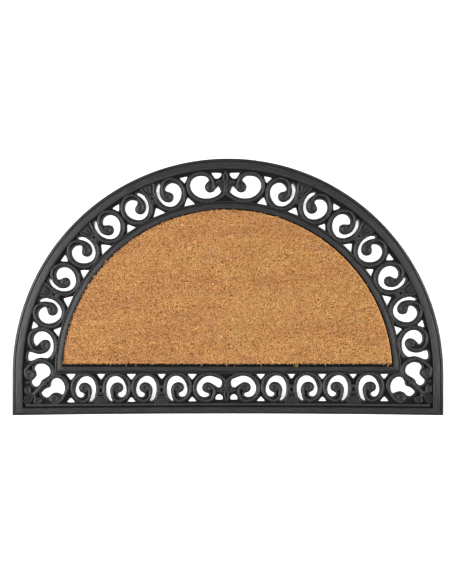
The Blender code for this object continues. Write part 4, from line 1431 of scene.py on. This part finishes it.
class DOORMAT_OT_coir(bpy.types.Operator):
    """Lay the coir panel in the tray, stand its fibres and scatter some loose ones"""

    bl_idname = "doormat.coir"
    bl_label = "Coir Panel"

    def execute(self, context):
        sizes = context.scene.doormat_sizes
        colours = context.scene.doormat_colours
        matting = finish_named("Coir ground", coir_ground, colours)
        fibre = finish_named("Coir fibre", coir_fibre, colours, sizes.coir_ground, COIR_BOX[1][2])
        work = bmesh.new()
        foot, top = TRAY_FLOOR + COIR_GAP, sizes.coir_ground / MM
        add_slab(work, [tray_outline(*GROUND_INSET)], foot, top, GROUND_ROUND)
        ground = add_piece("coir_ground", mesh_of("coir_ground", work), matting, "coir_panel")
        chance = random.Random(PILE_SEED)
        edge = []
        for x, y in walk(tray_outline(*PILE_INSET), PILE_STEP, True):
            share = chance.uniform(0.0, PILE_RAGGED)
            edge.append((x * (1.0 - share) + COIR_SHIFT, y + share * (PILE_MIDDLE - y)))
        pieces = self.standing(sizes, edge, fibre) + [self.loose(sizes, edge, fibre, chance)]
        return {"FINISHED"}

    def standing(self, sizes, edge, fibre):
        """The layers of standing fibres, all inside the edge."""
        tree = fibre_tree(fibre)
        density = sizes.fibre_count / (area_of(edge) * MM * MM)
        layers = []
        for k, (length, lean, tuft) in enumerate(FIBRE_LAYERS):
            patch = bmesh.new()
            root = sizes.coir_ground - FIBRE_ROOT * MM
            patch.faces.new([patch.verts.new((x * MM, y * MM, root)) for x, y in edge])
            mesh = bpy.data.meshes.new("coir_patch")
            patch.to_mesh(mesh)
            patch.free()
            guide = bpy.data.objects.new("coir_patch", mesh)
            bpy.context.scene.collection.objects.link(guide)
            values = {
                "Density": density,
                "Length": sizes.fibre_length * length,
                "Width": sizes.fibre_width,
                "Lean": lean,
                "Tuft size": tuft * MM,
                "Tuft lean": TUFT_LEAN,
                "Seed": FIRST_SEED + k,
            }
            layer = grown(guide, tree, values)
            layer.name = f"coir_fibres_{k + 1}"
            layers.append(add_piece(layer.name, layer, fibre, "coir_panel"))
        return layers

    def loose(self, sizes, edge, fibre, chance):
        """Long fibres lying on the pile: most of them anywhere, and some along the edge, over the frame."""
        level = COIR_BOX[1][2] / MM - LOOSE_DEPTH
        reach = TRAY_RADIUS - LOOSE_INSET
        lines = []
        while len(lines) < sizes.loose_count:
            if len(lines) % LOOSE_EDGE_EVERY == 0:
                x, y = chance.choice(edge)
                x += chance.uniform(-LOOSE_ASIDE, LOOSE_ASIDE)
                y += chance.uniform(-LOOSE_UP, LOOSE_UP)
            else:
                x = chance.uniform(-reach, reach)
                y = CENTRE_Y + chance.uniform(TRAY_FLAT + LOOSE_INSET, reach)
                if math.hypot(x, y - CENTRE_Y) > reach:
                    continue
            turn, bend = chance.uniform(0.0, math.tau), chance.uniform(-LOOSE_BEND, LOOSE_BEND)
            step = chance.uniform(*LOOSE_LENGTH) / LOOSE_JOINTS
            radius = chance.uniform(*LOOSE_RADIUS)
            line = []
            for k in range(LOOSE_JOINTS + 1):
                height = level + LOOSE_ARCH * math.sin(math.pi * k / LOOSE_JOINTS)
                line.append((x, y, height, radius * (LOOSE_END if k in (0, LOOSE_JOINTS) else 1.0)))
                x, y = x + step * math.cos(turn), y + step * math.sin(turn)
                turn += bend + chance.uniform(-LOOSE_WANDER, LOOSE_WANDER)
            lines.append(line)
        mesh = bead_mesh(lines, LOOSE_FACETS, fibre)
        shades = mesh.attributes.new("shade", "FLOAT", "POINT")
        each = len(mesh.vertices) // len(lines)
        for i in range(0, len(mesh.vertices), each):
            shade = chance.uniform(*LOOSE_SHADE)
            for k in range(i, i + each):
                shades.data[k].value = shade
        mesh.name = "coir_loose_fibres"
        return add_piece(mesh.name, mesh, fibre, "coir_panel")


class DOORMAT_OT_stage(bpy.types.Operator):
    """Lay the pale floor, light it softly from the sides and set the camera straight above the mat"""

    bl_idname = "doormat.stage"
    bl_label = "Floor, Light and Camera"

    def execute(self, context):
        scene = context.scene
        mesh = bpy.data.meshes.new("studio_floor")
        corners = [(x * FLOOR_REACH, y * FLOOR_REACH, 0.0) for x, y in ((-1, -1), (1, -1), (1, 1), (-1, 1))]
        mesh.from_pydata(corners, [], [(0, 1, 2, 3)])
        floor = bpy.data.objects.new("studio_floor", mesh)
        scene.collection.objects.link(floor)
        floor.data.materials.append(finish_named("Matt pale floor", pale_floor, scene.doormat_colours))
        for name, spot, size, power in LIGHTS:
            lamp = bpy.data.lights.new(name, "AREA")
            lamp.shape = "RECTANGLE"
            lamp.size, lamp.size_y = size
            lamp.energy = power
            made = bpy.data.objects.new(name, lamp)
            made.location = spot
            made.rotation_euler = (-Vector(spot)).to_track_quat("-Z", "Y").to_euler()
            scene.collection.objects.link(made)
        scene.world = bpy.data.worlds.new("Pale studio")
        scene.world.use_nodes = True
        sky = scene.world.node_tree.nodes["Background"]
        feed(sky, {"Color": WHITE, "Strength": ROOM_LIGHT})
        scene.view_settings.view_transform = "Standard"
        lens = bpy.data.cameras.new("Photograph camera")
        lens.lens = CAMERA_LENS
        lens.sensor_fit = "VERTICAL"
        lens.sensor_height = CAMERA_SENSOR
        camera = bpy.data.objects.new("Photograph camera", lens)
        camera.location = CAMERA_AT
        scene.collection.objects.link(camera)
        scene.camera = camera
        return {"FINISHED"}


STEPS = (
    DOORMAT_OT_web,
    DOORMAT_OT_rims,
    DOORMAT_OT_beads,
    DOORMAT_OT_knobs,
    DOORMAT_OT_clasps,
    DOORMAT_OT_posts,
    DOORMAT_OT_coir,
    DOORMAT_OT_stage,
)


class DOORMAT_PT_panel(bpy.types.Panel):
    """Lists the doormat's sizes, colours and steps"""

    bl_idname = "DOORMAT_PT_panel"
    bl_label = "Half-moon Doormat"
    bl_space_type = "VIEW_3D"
    bl_region_type = "UI"
    bl_category = "Doormat"

    def draw(self, context):
        layout = self.layout
        for group in (context.scene.doormat_sizes, context.scene.doormat_colours):
            box = layout.box()
            for name in group.__annotations__:
                box.prop(group, name)
        for step in STEPS:
            layout.operator(step.bl_idname)


CLASSES = (DoormatSizes, DoormatColours, *STEPS, DOORMAT_PT_panel)


def register():
    for item in CLASSES:
        bpy.utils.register_class(item)
    bpy.types.Scene.doormat_sizes = bpy.props.PointerProperty(type=DoormatSizes)
    bpy.types.Scene.doormat_colours = bpy.props.PointerProperty(type=DoormatColours)


def unregister():
    del bpy.types.Scene.doormat_colours
    del bpy.types.Scene.doormat_sizes
    for item in reversed(CLASSES):
        bpy.utils.unregister_class(item)


def main():
    register()
    bpy.ops.doormat.web()
    bpy.ops.doormat.rims()
    bpy.ops.doormat.beads()
    bpy.ops.doormat.knobs()
    bpy.ops.doormat.clasps()
    bpy.ops.doormat.posts()
    bpy.ops.doormat.coir()
    bpy.ops.doormat.stage()


if __name__ == "__main__":
    main()
